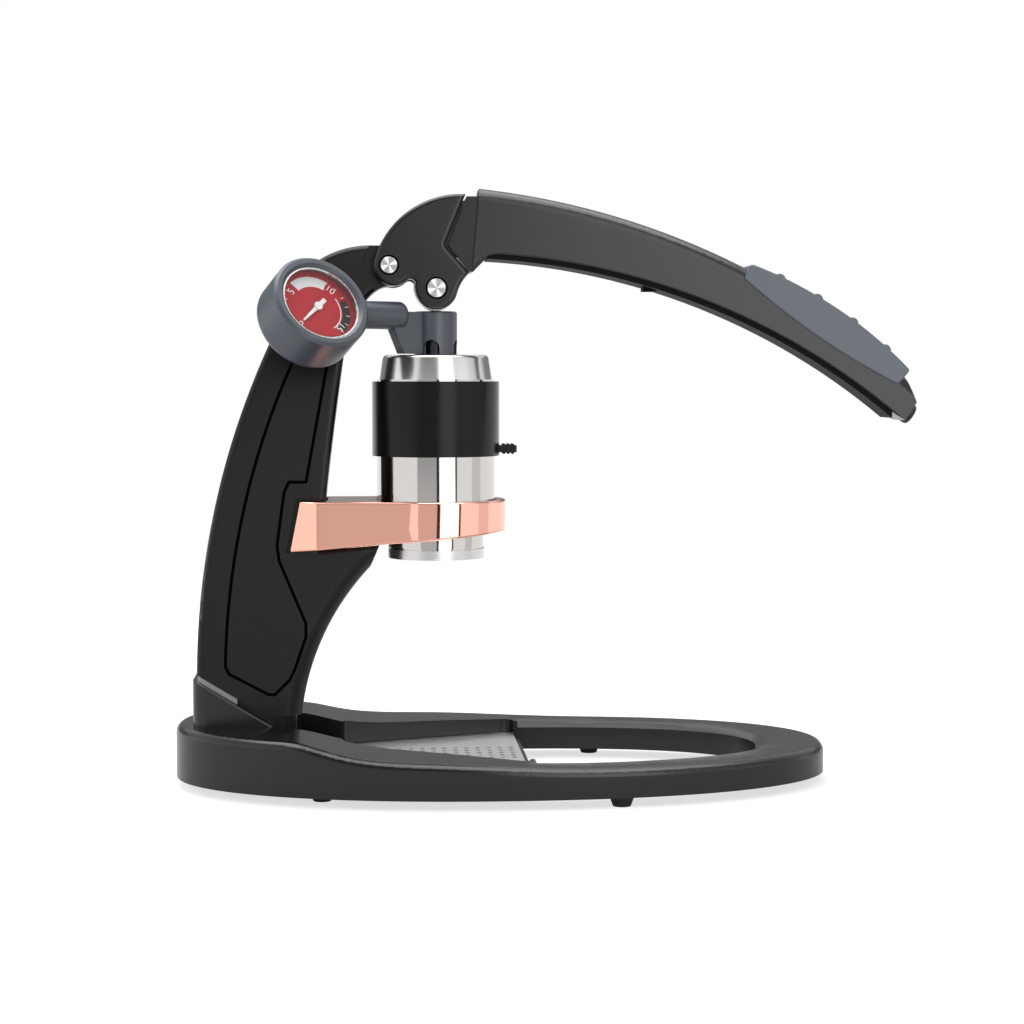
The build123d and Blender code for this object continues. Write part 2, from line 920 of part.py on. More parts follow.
def strainer_holes(radius, pitch, rings, thickness):
    """Rings of small holes round the brew axis."""
    hole = extrude(RegularPolygon(radius, strainer_sides), amount=thickness, both=True)
    holes = [hole]
    for number in range(1, rings + 1):
        count = 6 * number
        for step in range(count):
            holes.append(Rot(0, 0, 360 * step / count) * Pos(number * pitch, 0, 0) * hole)
    return holes


def portafilter_basket():
    """Sheet steel basket for the coffee, with a perforated floor."""
    low_z = rim_top - basket_depth
    inner = basket_radius - basket_sheet
    cup = turned(
        [
            (0, low_z),
            (basket_radius, low_z),
            (basket_radius, rim_top - basket_sheet),
            (basket_radius + basket_lip, rim_top - basket_sheet),
            (basket_radius + basket_lip, rim_top),
            (inner, rim_top),
            (inner, low_z + basket_sheet),
            (0, low_z + basket_sheet),
        ]
    )
    holes = strainer_holes(basket_hole_radius, basket_hole_pitch, basket_rings, 2 * basket_sheet)
    return cup - [Pos(brew_x, 0, low_z) * hole for hole in holes]


def dispersion_screen():
    """Perforated disc between the water and the coffee."""
    disc = ring(0, screen_radius, rim_top, cylinder_bottom)
    holes = strainer_holes(screen_hole_radius, screen_hole_pitch, screen_rings, 2 * screen_thickness)
    return disc - [Pos(brew_x, 0, rim_top) * hole for hole in holes]


def cylinder_seal():
    """Flat seal between the portafilter's rim and the brew cylinder."""
    inner = screen_radius + loose_gap
    return ring(inner, inner + seal_width, rim_top, cylinder_bottom)


def brew_cylinder():
    """Plain steel cylinder with a polished bore."""
    return ring(cylinder_bore, cylinder_radius, cylinder_bottom, cylinder_top)


def cylinder_cap():
    """Domed steel cap with a hole for the stem and a spigot in the cylinder."""
    hole = stem_radius + 2 * loose_gap
    spigot = cylinder_bore - running_gap
    low = cylinder_top - cap_spigot
    mid_r = (cylinder_radius + cap_top_radius) / 2 + cap_bulge
    mid_z = cylinder_top + cap_height / 2
    face = make_face(
        [
            Polyline(
                (cap_top_radius, cap_top),
                (hole, cap_top),
                (hole, low),
                (spigot, low),
                (spigot, cylinder_top),
                (cylinder_radius, cylinder_top),
            ),
            ThreePointArc((cylinder_radius, cylinder_top), (mid_r, mid_z), (cap_top_radius, cap_top)),
        ]
    )
    return Pos(brew_x, 0, 0) * revolve(Plane.XZ * face, Axis.Z)


def cylinder_sleeve():
    """Silicone sleeve on the cylinder, with a ribbed tab to pull it by."""
    top = cylinder_top - sleeve_top_drop
    low = top - sleeve_height
    outer = cylinder_radius + sleeve_thickness
    sleeve = ring(cylinder_radius, outer, low, top)
    tab_z = low + tab_rise + tab_thickness / 2
    tab = Pos(brew_x + outer + tab_length / 2 - sleeve_thickness / 2, 0, tab_z) * Box(
        tab_length + sleeve_thickness, tab_width, tab_thickness
    )
    tab = fillet(tab.edges().filter_by(Axis.Z).sort_by(Axis.X)[-2:], tab_thickness / 2)
    sleeve += tab - ring(0, cylinder_radius, low, top)
    for number in range(tab_ribs):
        x = brew_x + outer + tab_length * (number + 1) / (tab_ribs + 1)
        for side in (-1, 1):
            sleeve += Pos(x, 0, tab_z + side * tab_thickness / 2) * Rot(90, 0, 0) * Cylinder(
                tab_rib_radius, tab_width - 2 * tab_rib_radius
            )
    return sleeve


def seal_heights():
    """Heights of the two piston seals."""
    low = piston_bottom + seal_inset
    return (low, low + seal_pitch)


def piston():
    """Piston with two grooves for its seals."""
    radius = cylinder_bore - piston_clearance
    body = ring(0, radius, piston_bottom, piston_top)
    groove_floor = cylinder_bore - 2 * seal_wire
    for z in seal_heights():
        body -= ring(groove_floor, radius + overrun, z - seal_wire, z + seal_wire)
    return body


def piston_seals():
    """Two seal rings that close the gap to the bore."""
    inner = cylinder_bore - 2 * seal_wire
    outer = cylinder_bore - seal_squash
    height = seal_wire - loose_gap / 2
    return Compound([ring(inner, outer, z - height, z + height) for z in seal_heights()])


def piston_rod():
    """Rod that stands on the piston inside the stem."""
    return ring(0, rod_radius, piston_top, stem_top - rod_top_inset)


def stem():
    """Hollow stem that the lever presses, with slots at its foot and a web for the gauge tube."""
    bore_top = stem_top - stem_head
    body = turned(
        [
            (stem_bore, piston_top),
            (stem_radius, piston_top),
            (stem_radius, stem_top - stem_edge),
            (stem_radius - stem_edge, stem_top),
            (0, stem_top),
            (0, bore_top),
            (stem_bore, bore_top),
        ]
    )
    slot_low = cap_top - slot_sink
    slot_high = cap_top + slot_rise
    slot = SlotOverall(slot_high - slot_low, slot_width, rotation=90)
    cutter = extrude(Plane.YZ * slot, amount=stem_radius + overrun)
    web = stem_plane * make_face(
        Polyline(
            (stem_bore + running_gap, cap_top + web_lift),
            (web_foot_reach, cap_top + web_lift),
            (web_low_reach, gauge_z - tube_radius),
            (web_low_reach, gauge_z),
            (web_top_reach, stem_top - web_drop),
            (stem_bore + running_gap, stem_top - web_drop),
            close=True,
        )
    )
    body += extrude(web, amount=web_thickness / 2, both=True) - gauge_tube_bar()
    body -= ring(0, stem_bore, piston_top, bore_top)
    for number in range(slot_count):
        turn = 180 + gauge_swing + slot_turn + 360 * number / slot_count
        body -= Pos(brew_x, 0, (slot_low + slot_high) / 2) * Rot(0, 0, turn) * cutter
    return body


def stem_guide():
    """Bushing in the stem that keeps it upright on the rod."""
    top = stem_top - stem_head
    return ring(rod_radius + running_gap, stem_bore, top - guide_height, top)


def gauge_tube_bar():
    """Round bar of the gauge tube with its rounded inner end, reaching the gauge's axis."""
    length = gauge_reach - tube_start
    bar = Cylinder(tube_radius, length, align=(Align.CENTER, Align.CENTER, Align.MIN))
    bar = fillet(bar.edges().sort_by(Axis.Z)[0], tube_end_radius)
    tube_plane = Plane(
        origin=(brew_x - tube_start * swing_x, -tube_start * swing_y, gauge_z),
        x_dir=(0, 0, 1),
        z_dir=(-swing_x, -swing_y, 0),
    )
    return tube_plane.location * bar


def gauge_tube():
    """Tube from the stem's web to the side of the gauge."""
    round_body = gauge_plane.location * Cylinder(gauge_radius, gauge_depth + gauge_radius)
    return gauge_tube_bar() - round_body


def gauge_turned(edges):
    """Solid of revolution about the gauge's own axis."""
    return gauge_plane.location * revolve(Plane.XZ * make_face(edges), Axis.Z)


def gauge_disc(radius, low, high, inner=0.0):
    """Disc or ring about the gauge's own axis."""
    outline = Polyline((inner, low), (radius, low), (radius, high), (inner, high), close=True)
    return gauge_turned(outline)


def gauge_housing():
    """Round housing of the gauge: closed back, thick rim round the window."""
    half = gauge_depth / 2
    inner = gauge_radius - gauge_wall
    back_turn = gauge_radius - gauge_back_edge
    quarter = gauge_back_edge * (1 - sin(radians(45)))
    back_mid = (gauge_radius - quarter, -half + quarter)
    return gauge_turned(
        [
            Line((0, -half), (back_turn, -half)),
            ThreePointArc((back_turn, -half), back_mid, (gauge_radius, -half + gauge_back_edge)),
            Polyline(
                (gauge_radius, -half + gauge_back_edge),
                (gauge_radius, half - gauge_front_edge),
                (gauge_radius - gauge_front_edge, half),
                (gauge_window_radius + gauge_front_edge, half),
                (gauge_window_radius, half - gauge_front_edge),
                (gauge_window_radius, half - gauge_lip),
                (inner, half - gauge_lip),
                (inner, -half + gauge_wall),
                (0, -half + gauge_wall),
                (0, -half),
            ),
        ]
    )


def lens_low():
    """Back face of the lens along the gauge's axis."""
    return gauge_depth / 2 - lens_inset - lens_thickness


def gauge_lens():
    """Clear lens in the gauge's window."""
    low = lens_low()
    return gauge_disc(gauge_window_radius - bezel_width, low, low + lens_thickness)


def gauge_bezel():
    """Thin bright ring that holds the lens."""
    low = lens_low()
    return gauge_disc(gauge_window_radius, low, low + bezel_height, gauge_window_radius - bezel_width)


def dial_top():
    """Front face of the dial along the gauge's axis."""
    return gauge_depth / 2 - dial_inset


def gauge_dial():
    """Round dial, held at its rim by the housing."""
    top = dial_top()
    return gauge_disc(gauge_radius - gauge_wall, top - dial_thickness, top, spindle_radius + running_gap)


def gauge_spindle():
    """Spindle that carries the needle through the dial."""
    top = dial_top()
    return gauge_disc(spindle_radius, top - dial_thickness - movement_height / 2, top + needle_lift)


def gauge_needle():
    """Needle with a tail and a round hub, at its stop."""
    face = make_face(
        Polyline(
            (needle_length, -needle_tip_width / 2),
            (needle_length, needle_tip_width / 2),
            (0, needle_root_width / 2),
            (-needle_tail, needle_root_width / 2),
            (-needle_tail, -needle_root_width / 2),
            (0, -needle_root_width / 2),
            close=True,
        )
    )
    blade = extrude(face, amount=needle_thickness) + Cylinder(
        needle_hub_radius, 2 * needle_thickness, align=(Align.CENTER, Align.CENTER, Align.MIN)
    )
    place = Pos(0, 0, dial_top() + needle_lift) * Rot(0, 0, needle_zero)
    return gauge_plane.location * place * blade


def gauge_movement():
    """Block behind the dial that holds the spindle and the root of the pressure tube."""
    top = dial_top() - dial_thickness
    body = Pos(movement_length / 4, 0, top - movement_height / 2) * Box(
        movement_length, movement_width, movement_height
    )
    body -= Cylinder(spindle_radius + running_gap, gauge_depth)
    stub = Pos(gauge_radius - gauge_wall, 0, -gauge_depth / 6) * Rot(0, -90, 0) * Cylinder(
        bourdon_wire + overrun / 2, gauge_radius / 3, align=(Align.CENTER, Align.CENTER, Align.MIN)
    )
    leg = Pos(gauge_radius - gauge_wall - gauge_radius / 3, 0, -gauge_depth / 6) * Box(
        movement_width / 2, movement_width / 2, top + gauge_depth / 6, align=(Align.CENTER, Align.CENTER, Align.MIN)
    )
    return gauge_plane.location * (body + stub + leg) - bourdon_tube()


def bourdon_tube():
    """Curved pressure tube behind the movement."""
    start = (bourdon_radius, 0)
    path = Plane.XY.offset(-gauge_depth / 6) * CenterArc((0, 0), bourdon_radius, 0, bourdon_sweep)
    profile = Plane(origin=(start[0], start[1], -gauge_depth / 6), z_dir=(0, 1, 0)) * Circle(bourdon_wire)
    return gauge_plane.location * sweep(profile, path=path)


def press_point(radius, turn):
    """Point round the press pin in the side view; turn in degrees from ahead."""
    ahead = press_arm * cos(radians(press_angle)) + radius * cos(radians(turn))
    rise = -press_arm * sin(radians(press_angle)) + radius * sin(radians(turn))
    return lever_point(ahead, rise)


def crown_point(radius, turn):
    """Point on an arc of the crown in the side view; turn in degrees from ahead."""
    ahead = crown_ahead + radius * cos(radians(turn))
    rise = -crown_drop + radius * sin(radians(turn))
    return lever_point(ahead, rise)


def crown_top_turn():
    """Turn of the front end of the crown."""
    return 90 - degrees(asin((head_top_ahead - crown_ahead) / crown_radius))


def toward(start, end, reach):
    """Point at a distance from one point on the way to another."""
    span = hypot(end[0] - start[0], end[1] - start[1])
    return (start[0] + (end[0] - start[0]) * reach / span, start[1] + (end[1] - start[1]) * reach / span)


def cheek_edges():
    """Side view of a cheek: crown arc, a lobe round each pin and the notch for the handle."""
    crown_center = crown_point(0, 0)
    pivot_center = lever_point(pivot_lobe_ahead, -pivot_lobe_drop)
    press_center = press_point(0, 0)
    lobe_radius = crown_radius - hypot(crown_center[0] - pivot_center[0], crown_center[1] - pivot_center[1])
    rear = toward(crown_center, pivot_center, crown_radius)
    rear_turn = 180 - degrees(asin((rear[1] - crown_center[1]) / crown_radius))
    top = crown_point(crown_radius, crown_top_turn())
    crown_mid = crown_point(crown_radius, (rear_turn + crown_top_turn()) / 2)
    span = hypot(press_center[0] - pivot_center[0], press_center[1] - pivot_center[1])
    pivot_far = lobe_radius + lobe_gap_radius
    press_far = press_lobe_radius + lobe_gap_radius
    along = (span**2 + pivot_far**2 - press_far**2) / (2 * span)
    across = sqrt(pivot_far**2 - along**2)
    foot = toward(pivot_center, press_center, along)
    lean_x = (press_center[0] - pivot_center[0]) / span
    lean_z = (press_center[1] - pivot_center[1]) / span
    gap_center = (foot[0] + across * lean_z, foot[1] - across * lean_x)
    lobe_end = toward(pivot_center, gap_center, lobe_radius)
    press_start = toward(press_center, gap_center, press_lobe_radius)
    gap_mid = toward(gap_center, foot, lobe_gap_radius)
    lobe_mid = toward(pivot_center, (pivot_center[0] - across, pivot_center[1] - pivot_far), lobe_radius)
    press_end = press_point(press_lobe_radius, -press_lobe_end)
    press_tangent = (sin(radians(press_lobe_end)), cos(radians(press_lobe_end)))
    chin = lever_point(chin_ahead, -chin_drop)
    notch = lever_point(notch_ahead, notch_rise)
    return [
        ThreePointArc(rear, crown_mid, top),
        Polyline(top, notch, chin),
        TangentArc(press_end, chin, tangent=press_tangent),
        ThreePointArc(press_end, press_point(press_lobe_radius, -90), press_start),
        ThreePointArc(press_start, gap_mid, lobe_end),
        ThreePointArc(lobe_end, lobe_mid, rear),
    ]


def lever_head():
    """Cast head: two cheeks joined by a crown, open between them for the tang, roller and tongue."""
    face = make_face(cheek_edges())
    notch = lever_point(notch_ahead, notch_rise)
    corner = [v for v in face.vertices() if hypot(v.X - notch[0], v.Y - notch[1]) < notch_corner]
    face = fillet(corner, notch_corner)
    body = extrude(Plane.XZ * face, amount=head_width / 2, both=True)
    start_out = crown_point(crown_radius + overrun, crown_start)
    start_in = crown_point(crown_radius - crown_wall, crown_start)
    end_turn = crown_top_turn()
    mid_turn = (crown_start + end_turn) / 2
    end_in = crown_point(crown_radius - crown_wall, end_turn)
    end_out = crown_point(crown_radius + overrun, end_turn)
    crown = [
        ThreePointArc(start_in, crown_point(crown_radius - crown_wall, mid_turn), end_in),
        Line(end_in, end_out),
        ThreePointArc(end_out, crown_point(crown_radius + overrun, mid_turn), start_out),
        Line(start_out, start_in),
    ]
    hollow = side_slab(
        Polyline(
            lever_point(-crown_radius, -crown_radius),
            lever_point(2 * crown_radius, -crown_radius),
            lever_point(2 * crown_radius, 2 * crown_radius),
            lever_point(-crown_radius, 2 * crown_radius),
            close=True,
        ),
        head_gap,
    )
    outer = [edge for edge in body.edges() if abs(abs(edge.center().Y) - head_width / 2) < running_gap]
    body = fillet(outer, head_edge_radius)
    body -= hollow - side_slab(crown, head_gap)
    body -= side_rod(pivot_x, pivot_z, pivot_pin_radius, 2 * head_width)
    press = press_point(0, 0)
    body -= side_rod(press[0], press[1], press_pin_radius, 2 * head_width)
    return body


def side_pin(place, radius):
    """Pin through both cheeks with a fine shadow ring turned at each end."""
    length = head_width + 2 * pin_proud
    return chamfer(side_rod(place[0], place[1], radius, length).edges().filter_by(GeomType.CIRCLE), pin_proud)


def pivot_pin():
    """Pin that carries the lever in the post's tang."""
    return side_pin((pivot_x, pivot_z), pivot_pin_radius)


def press_pin():
    """Pin that carries the press roller."""
    return side_pin(press_point(0, 0), press_pin_radius)


def pivot_bushing():
    """Bronze bushing pressed into the tang."""
    inner = pivot_pin_radius + running_gap
    return side_rod(pivot_x, pivot_z, inner + bushing_wall, tang_width) - side_rod(
        pivot_x, pivot_z, inner, 2 * tang_width
    )


def pivot_washers():
    """Two washers that fill the space between the tang and the cheeks."""
    thickness = (head_gap - tang_width) / 2 - 2 * running_gap
    middle = (head_gap + tang_width) / 4
    washer = Rot(90, 0, 0) * (Cylinder(washer_radius, thickness) - Cylinder(pivot_pin_radius, thickness))
    return Compound([Pos(pivot_x, side * middle, pivot_z) * washer for side in (-1, 1)])


def press_roller():
    """Roller between the cheeks that presses on the stem."""
    x, z = press_point(0, 0)
    width = head_gap - 2 * loose_gap
    roller = side_rod(x, z, roller_radius, width) - side_rod(x, z, press_pin_radius + running_gap, 2 * width)
    return roller


def arc_rise(ahead, radius, center_ahead, center_drop):
    """Height over the pivot of one of the handle's long arcs."""
    return -center_drop + sqrt(radius**2 - (ahead - center_ahead) ** 2)


def handle_top_rise(ahead):
    """Height over the pivot of the handle's upper edge."""
    return arc_rise(ahead, handle_top_radius, handle_top_ahead, handle_top_drop)


def handle_low_rise(ahead, lower=0.0):
    """Height over the pivot of the handle's lower edge, or of an arc parallel to it."""
    return arc_rise(ahead, handle_low_radius - lower, handle_low_ahead, handle_low_drop)


def plug_reach():
    """How far the end plug reaches ahead of the middle of the handle's end."""
    slope = radians(handle_end_slope)
    rim = plug_radius - plug_edge * (1 - sin(slope))
    return (plug_height - plug_edge * (1 - cos(slope))) * cos(slope) + rim * sin(slope)


def handle_end():
    """Middle of the handle's end face, from the pivot."""
    ahead = overall_length / 2 - plug_reach() - pivot_x
    rise = handle_low_rise(ahead) + handle_end_height / 2 * cos(radians(handle_end_slope)) + handle_end_height / 3
    return ahead, rise


def handle_bar_edges():
    """Side view of the handle's bar, run past both of its ends."""
    near = handle_chin_ahead - overrun
    far = handle_end()[0] + handle_end_height
    middle = (near + far) / 2
    throat_ahead = handle_chin_ahead + handle_throat
    throat_slope = handle_low_rise(throat_ahead) - handle_low_rise(throat_ahead - running_gap)
    top_near = lever_point(near, handle_top_rise(near))
    top_far = lever_point(far, handle_top_rise(far))
    low_far = lever_point(far, handle_low_rise(far))
    throat = lever_point(throat_ahead, handle_low_rise(throat_ahead))
    chin = lever_point(near, -chin_drop - overrun)
    return [
        ThreePointArc(top_near, lever_point(middle, handle_top_rise(middle)), top_far),
        Line(top_far, low_far),
        ThreePointArc(low_far, lever_point(middle, handle_low_rise(middle)), throat),
        TangentArc(throat, chin, tangent=(-running_gap, -throat_slope)),
        Line(chin, top_near),
    ]


def handle_limits():
    """Side view of the region that cuts the bar to length, with a cut corner at the tip."""
    slope = radians(handle_end_slope)
    ahead, rise = handle_end()
    half = handle_end_height / 2
    end_top = lever_point(ahead + half * sin(slope), rise + half * cos(slope))
    end_low = lever_point(ahead - half * sin(slope), rise - half * cos(slope))
    corner_ahead = ahead + half * sin(slope) - handle_end_corner * sin(slope)
    corner = lever_point(corner_ahead, handle_top_rise(corner_ahead))
    low_ahead = ahead - half * sin(slope) - half
    low_end = lever_point(low_ahead, handle_low_rise(low_ahead))
    chin = lever_point(handle_chin_ahead, -chin_drop)
    root = lever_point(handle_root_ahead, handle_top_rise(handle_root_ahead))
    span = hypot(root[0] - chin[0], root[1] - chin[1])
    below = toward(root, chin, span + handle_throat)
    above = toward(chin, root, span + handle_throat)
    beyond = toward(end_top, corner, 2 * handle_throat)
    return Polyline(
        below,
        above,
        (beyond[0], above[1]),
        beyond,
        end_top,
        end_low,
        toward(end_low, low_end, 2 * handle_throat),
        close=True,
    )


def handle_plan(inset=0.0):
    """Upright prism of the handle's plan, narrower at the tip."""
    root_half = handle_root_width / 2 - inset
    tip_half = handle_tip_width / 2 - inset
    root_x = pivot_x
    tip_x = overall_length / 2 + overrun
    points = [(root_x, -root_half), (tip_x, -tip_half), (tip_x, tip_half), (root_x, root_half)]
    return plan_prism(points, holder_seat_height, pivot_z + handle_root_width * 2)


def strip_edges(upper):
    """Side view of the strip under the handle, up to a given height over the lower edge."""
    low_start = lever_point(strip_start, handle_low_rise(strip_start, strip_proud))
    low_end = lever_point(strip_end, handle_low_rise(strip_end, strip_proud))
    middle = (strip_start + strip_end) / 2
    low_mid = lever_point(middle, handle_low_rise(middle, strip_proud))
    high_start = lever_point(strip_start, handle_low_rise(strip_start, -upper))
    high_end = lever_point(strip_end, handle_low_rise(strip_end, -upper))
    high_mid = lever_point(middle, handle_low_rise(middle, -upper))
    return [
        ThreePointArc(low_start, low_mid, low_end),
        Line(low_end, high_end),
        ThreePointArc(high_end, high_mid, high_start),
        Line(high_start, low_start),
    ]


def tongue():
    """Tongue of the handle between the cheeks, and the collar that fills the notch."""
    inner_radius = crown_radius - crown_wall - tongue_crown_gap
    tip_turn = degrees(asin((crown_ahead - notch_ahead + tongue_reach / 2) / inner_radius))
    tip_top = crown_point(inner_radius, 90 + tip_turn)
    mid_top = crown_point(inner_radius, 90 + tip_turn / 2)
    front_top = crown_point(inner_radius, 90)
    top_z = handle_top_rise(handle_root_ahead) - tongue_top_drop
    low_z = notch_rise - tongue_low_rise
    root = (handle_root_ahead + handle_throat / 4, top_z)
    blade = [
        ThreePointArc(tip_top, mid_top, front_top),
        Polyline(
            front_top,
            lever_point(*root),
            lever_point(root[0], low_z),
            (tip_top[0], pivot_z + low_z),
            tip_top,
        ),
    ]
    collar = Polyline(
        lever_point(head_top_ahead + collar_gap, top_z),
        lever_point(*root),
        lever_point(root[0], low_z),
        lever_point(handle_chin_ahead + collar_gap, -chin_drop + collar_gap),
        lever_point(chin_ahead + collar_gap, -chin_drop + collar_gap),
        lever_point(notch_ahead + collar_gap + notch_corner / 2, notch_rise),
        close=True,
    )
    return side_slab(blade, head_gap - 2 * running_gap) + side_slab(collar, collar_width)


def handle_blank():
    """Handle without its tongue, with rounded long edges."""
    body = side_slab(handle_bar_edges(), handle_root_width + overrun) & handle_plan()
    middle = handle_low_rise((handle_root_ahead + strip_end) / 2)
    split_z = lever_point(0, middle)[1] + handle_end_height
    long_edges = [edge for edge in body.edges() if edge.bounding_box().size.X > 2 * handle_throat]
    body = fillet([edge for edge in long_edges if edge.center().Z > split_z], handle_top_edge)
    long_edges = [edge for edge in body.edges() if edge.bounding_box().size.X > 2 * handle_throat]
    lowest = min(edge.center().Z for edge in long_edges)
    body = fillet([edge for edge in long_edges if edge.center().Z < lowest + overrun], handle_low_edge)
    return body & side_slab(handle_limits(), handle_root_width + overrun)


def lever_handle():
    """Long curved handle with its tongue and a slot underneath for the strip."""
    body = handle_blank()
    body -= side_slab(strip_edges(strip_depth), handle_root_width) & handle_plan(strip_side_inset)
    return body + tongue()


def handle_strip():
    """Strip that closes the underside of the handle, with a small rest nub."""
    body = side_slab(strip_edges(strip_depth), handle_root_width) & handle_plan(strip_side_inset)
    nub_z = lever_point(0, handle_low_rise(nub_ahead, strip_proud + nub_drop))[1]
    nub_x = pivot_x + nub_ahead
    body += block(nub_x - nub_length / 2, nub_x + nub_length / 2, nub_width, nub_z, nub_z + nub_drop + strip_proud)
    return body


def grip_point(turn, offset_out):
    """Point by turn ahead of the vertical and distance outside the handle's upper arc."""
    radius = handle_top_radius + offset_out
    return lever_point(
        handle_top_ahead + radius * sin(radians(turn)), -handle_top_drop + radius * cos(radians(turn))
    )


def handle_grip():
    """Rubber grip over the end of the handle, with cross ridges on its back."""
    start_out = grip_point(grip_start_turn, grip_start_rise)
    peak_out = grip_point(grip_peak_turn, grip_peak_rise)
    end_out = grip_point(grip_end_turn, grip_end_rise)
    end_in = grip_point(grip_end_turn, -grip_end_skirt)
    peak_in = grip_point(grip_peak_turn, -grip_peak_skirt)
    start_in = grip_point(grip_start_turn, -grip_start_skirt)
    edges = [
        ThreePointArc(start_out, peak_out, end_out),
        Line(end_out, end_in),
        ThreePointArc(end_in, peak_in, start_in),
        Line(start_in, start_out),
    ]
    face = fillet(make_face(edges).vertices(), 2 * grip_edge_radius)
    width = handle_root_width + 2 * grip_skin
    body = extrude(Plane.XZ * face, amount=width / 2, both=True) & handle_plan(-grip_skin)
    rounded = [edge for edge in body.edges() if edge.bounding_box().size.X > handle_throat * 2]
    body = fillet(rounded, grip_edge_radius)
    for number in range(ridge_count):
        turn = ridge_first_turn + ridge_turn * number
        share = (turn - grip_start_turn) / (grip_end_turn - grip_start_turn)
        rise = grip_start_rise + (grip_end_rise - grip_start_rise) * share
        bulge = grip_peak_rise - (grip_start_rise + grip_end_rise) / 2
        rise += bulge * (1 - (2 * share - 1) ** 2)
        x, z = grip_point(turn, rise + ridge_rise - ridge_radius)
        local_half = handle_root_width / 2 + grip_skin
        ridge = side_rod(x, z, ridge_radius, 2 * local_half - 2 * grip_edge_radius)
        body += ridge & handle_plan(-grip_skin + running_gap)
    return body - handle_blank()


def handle_end_plug():
    """Round plug that closes the tip of the handle."""
    ahead, rise = handle_end()
    slope = radians(handle_end_slope)
    place = lever_point(ahead, rise)
    plane = Plane(origin=(place[0], 0, place[1]), x_dir=(0, 1, 0), z_dir=(cos(slope), 0, -sin(slope)))
    plug = Cylinder(plug_radius, plug_height, align=(Align.CENTER, Align.CENTER, Align.MIN))
    plug = fillet(plug.edges().sort_by(Axis.Z)[-1], plug_edge)
    return plane.location * plug


PIECES = {
    "base_ring": base_ring,
    "base_feet": base_feet,
    "drip_tray": drip_tray,
    "post": post,
    "post_shim": post_shim,
    "post_screws": post_screws,
    "pivot_bushing": pivot_bushing,
    "portafilter_holder": portafilter_holder,
    "portafilter": portafilter,
    "spout_ring": spout_ring,
    "portafilter_basket": portafilter_basket,
    "dispersion_screen": dispersion_screen,
    "cylinder_seal": cylinder_seal,
    "brew_cylinder": brew_cylinder,
    "cylinder_cap": cylinder_cap,
    "cylinder_sleeve": cylinder_sleeve,
    "piston": piston,
    "piston_seals": piston_seals,
    "piston_rod": piston_rod,
    "stem": stem,
    "stem_guide": stem_guide,
    "gauge_tube": gauge_tube,
    "gauge_housing": gauge_housing,
    "gauge_lens": gauge_lens,
    "gauge_bezel": gauge_bezel,
    "gauge_dial": gauge_dial,
    "gauge_spindle": gauge_spindle,
    "gauge_needle": gauge_needle,
    "gauge_movement": gauge_movement,
    "bourdon_tube": bourdon_tube,
    "lever_head": lever_head,
    "pivot_pin": pivot_pin,
    "press_pin": press_pin,
    "pivot_washers": pivot_washers,
    "press_roller": press_roller,
    "lever_handle": lever_handle,
    "handle_strip": handle_strip,
    "handle_grip": handle_grip,
    "handle_end_plug": handle_end_plug,
}


if __name__ == "__main__":
    os.makedirs("parts", exist_ok=True)
    for name, make in PIECES.items():
        export_step(make(), f"parts/{name}.step")
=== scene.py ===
"""Looks of the lever espresso machine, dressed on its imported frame.

Metres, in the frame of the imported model: +X along the lever, +Y across the base, +Z up.
"""

import logging
import math
from dataclasses import dataclass
from enum import Enum
from typing import Any, ClassVar

import bmesh
import bpy
from mathutils import Euler, Matrix, Vector


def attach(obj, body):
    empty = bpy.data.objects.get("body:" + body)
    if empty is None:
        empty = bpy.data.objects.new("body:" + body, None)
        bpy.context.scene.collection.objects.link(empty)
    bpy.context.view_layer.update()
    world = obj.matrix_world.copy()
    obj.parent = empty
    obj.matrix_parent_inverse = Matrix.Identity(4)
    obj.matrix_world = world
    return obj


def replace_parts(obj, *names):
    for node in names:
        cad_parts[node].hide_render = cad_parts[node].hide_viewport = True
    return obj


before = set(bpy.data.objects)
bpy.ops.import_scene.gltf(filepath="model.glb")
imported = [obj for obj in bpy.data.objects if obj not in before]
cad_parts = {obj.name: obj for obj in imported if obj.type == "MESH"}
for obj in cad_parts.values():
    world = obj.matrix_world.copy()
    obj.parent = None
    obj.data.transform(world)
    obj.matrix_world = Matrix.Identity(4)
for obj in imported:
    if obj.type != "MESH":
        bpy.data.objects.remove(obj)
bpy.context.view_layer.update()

log = logging.getLogger("espresso_machine")

Pair = tuple[float, float]
Point = tuple[float, float, float]
Colour = tuple[float, float, float]

MM = 0.001
DEGREES = 180 / math.pi  # degrees in one radian
CREASE = 28.0  # degrees between faces above which a smooth shape keeps a sharp edge
WELD = 0.002 * MM  # points nearer than this are one in a smooth copy
FINE_DEPTH = 0.2 * MM  # depth of the relief that a tool or tarnish leaves on metal
WHITE = (1.0, 1.0, 1.0, 1.0)

BREW_AXIS: Pair = (-56.5 * MM, 0.0)  # seen from above, as (x, y)
PIVOT: Pair = (-79.606 * MM, 254.971 * MM)  # seen from the side, as (x, z)
PRESS: Pair = (-56.5 * MM, 243.95 * MM)


class Side(Enum):
    """The two sides of the machine, as signs along Y."""

    NEAR = -1
    FAR = 1


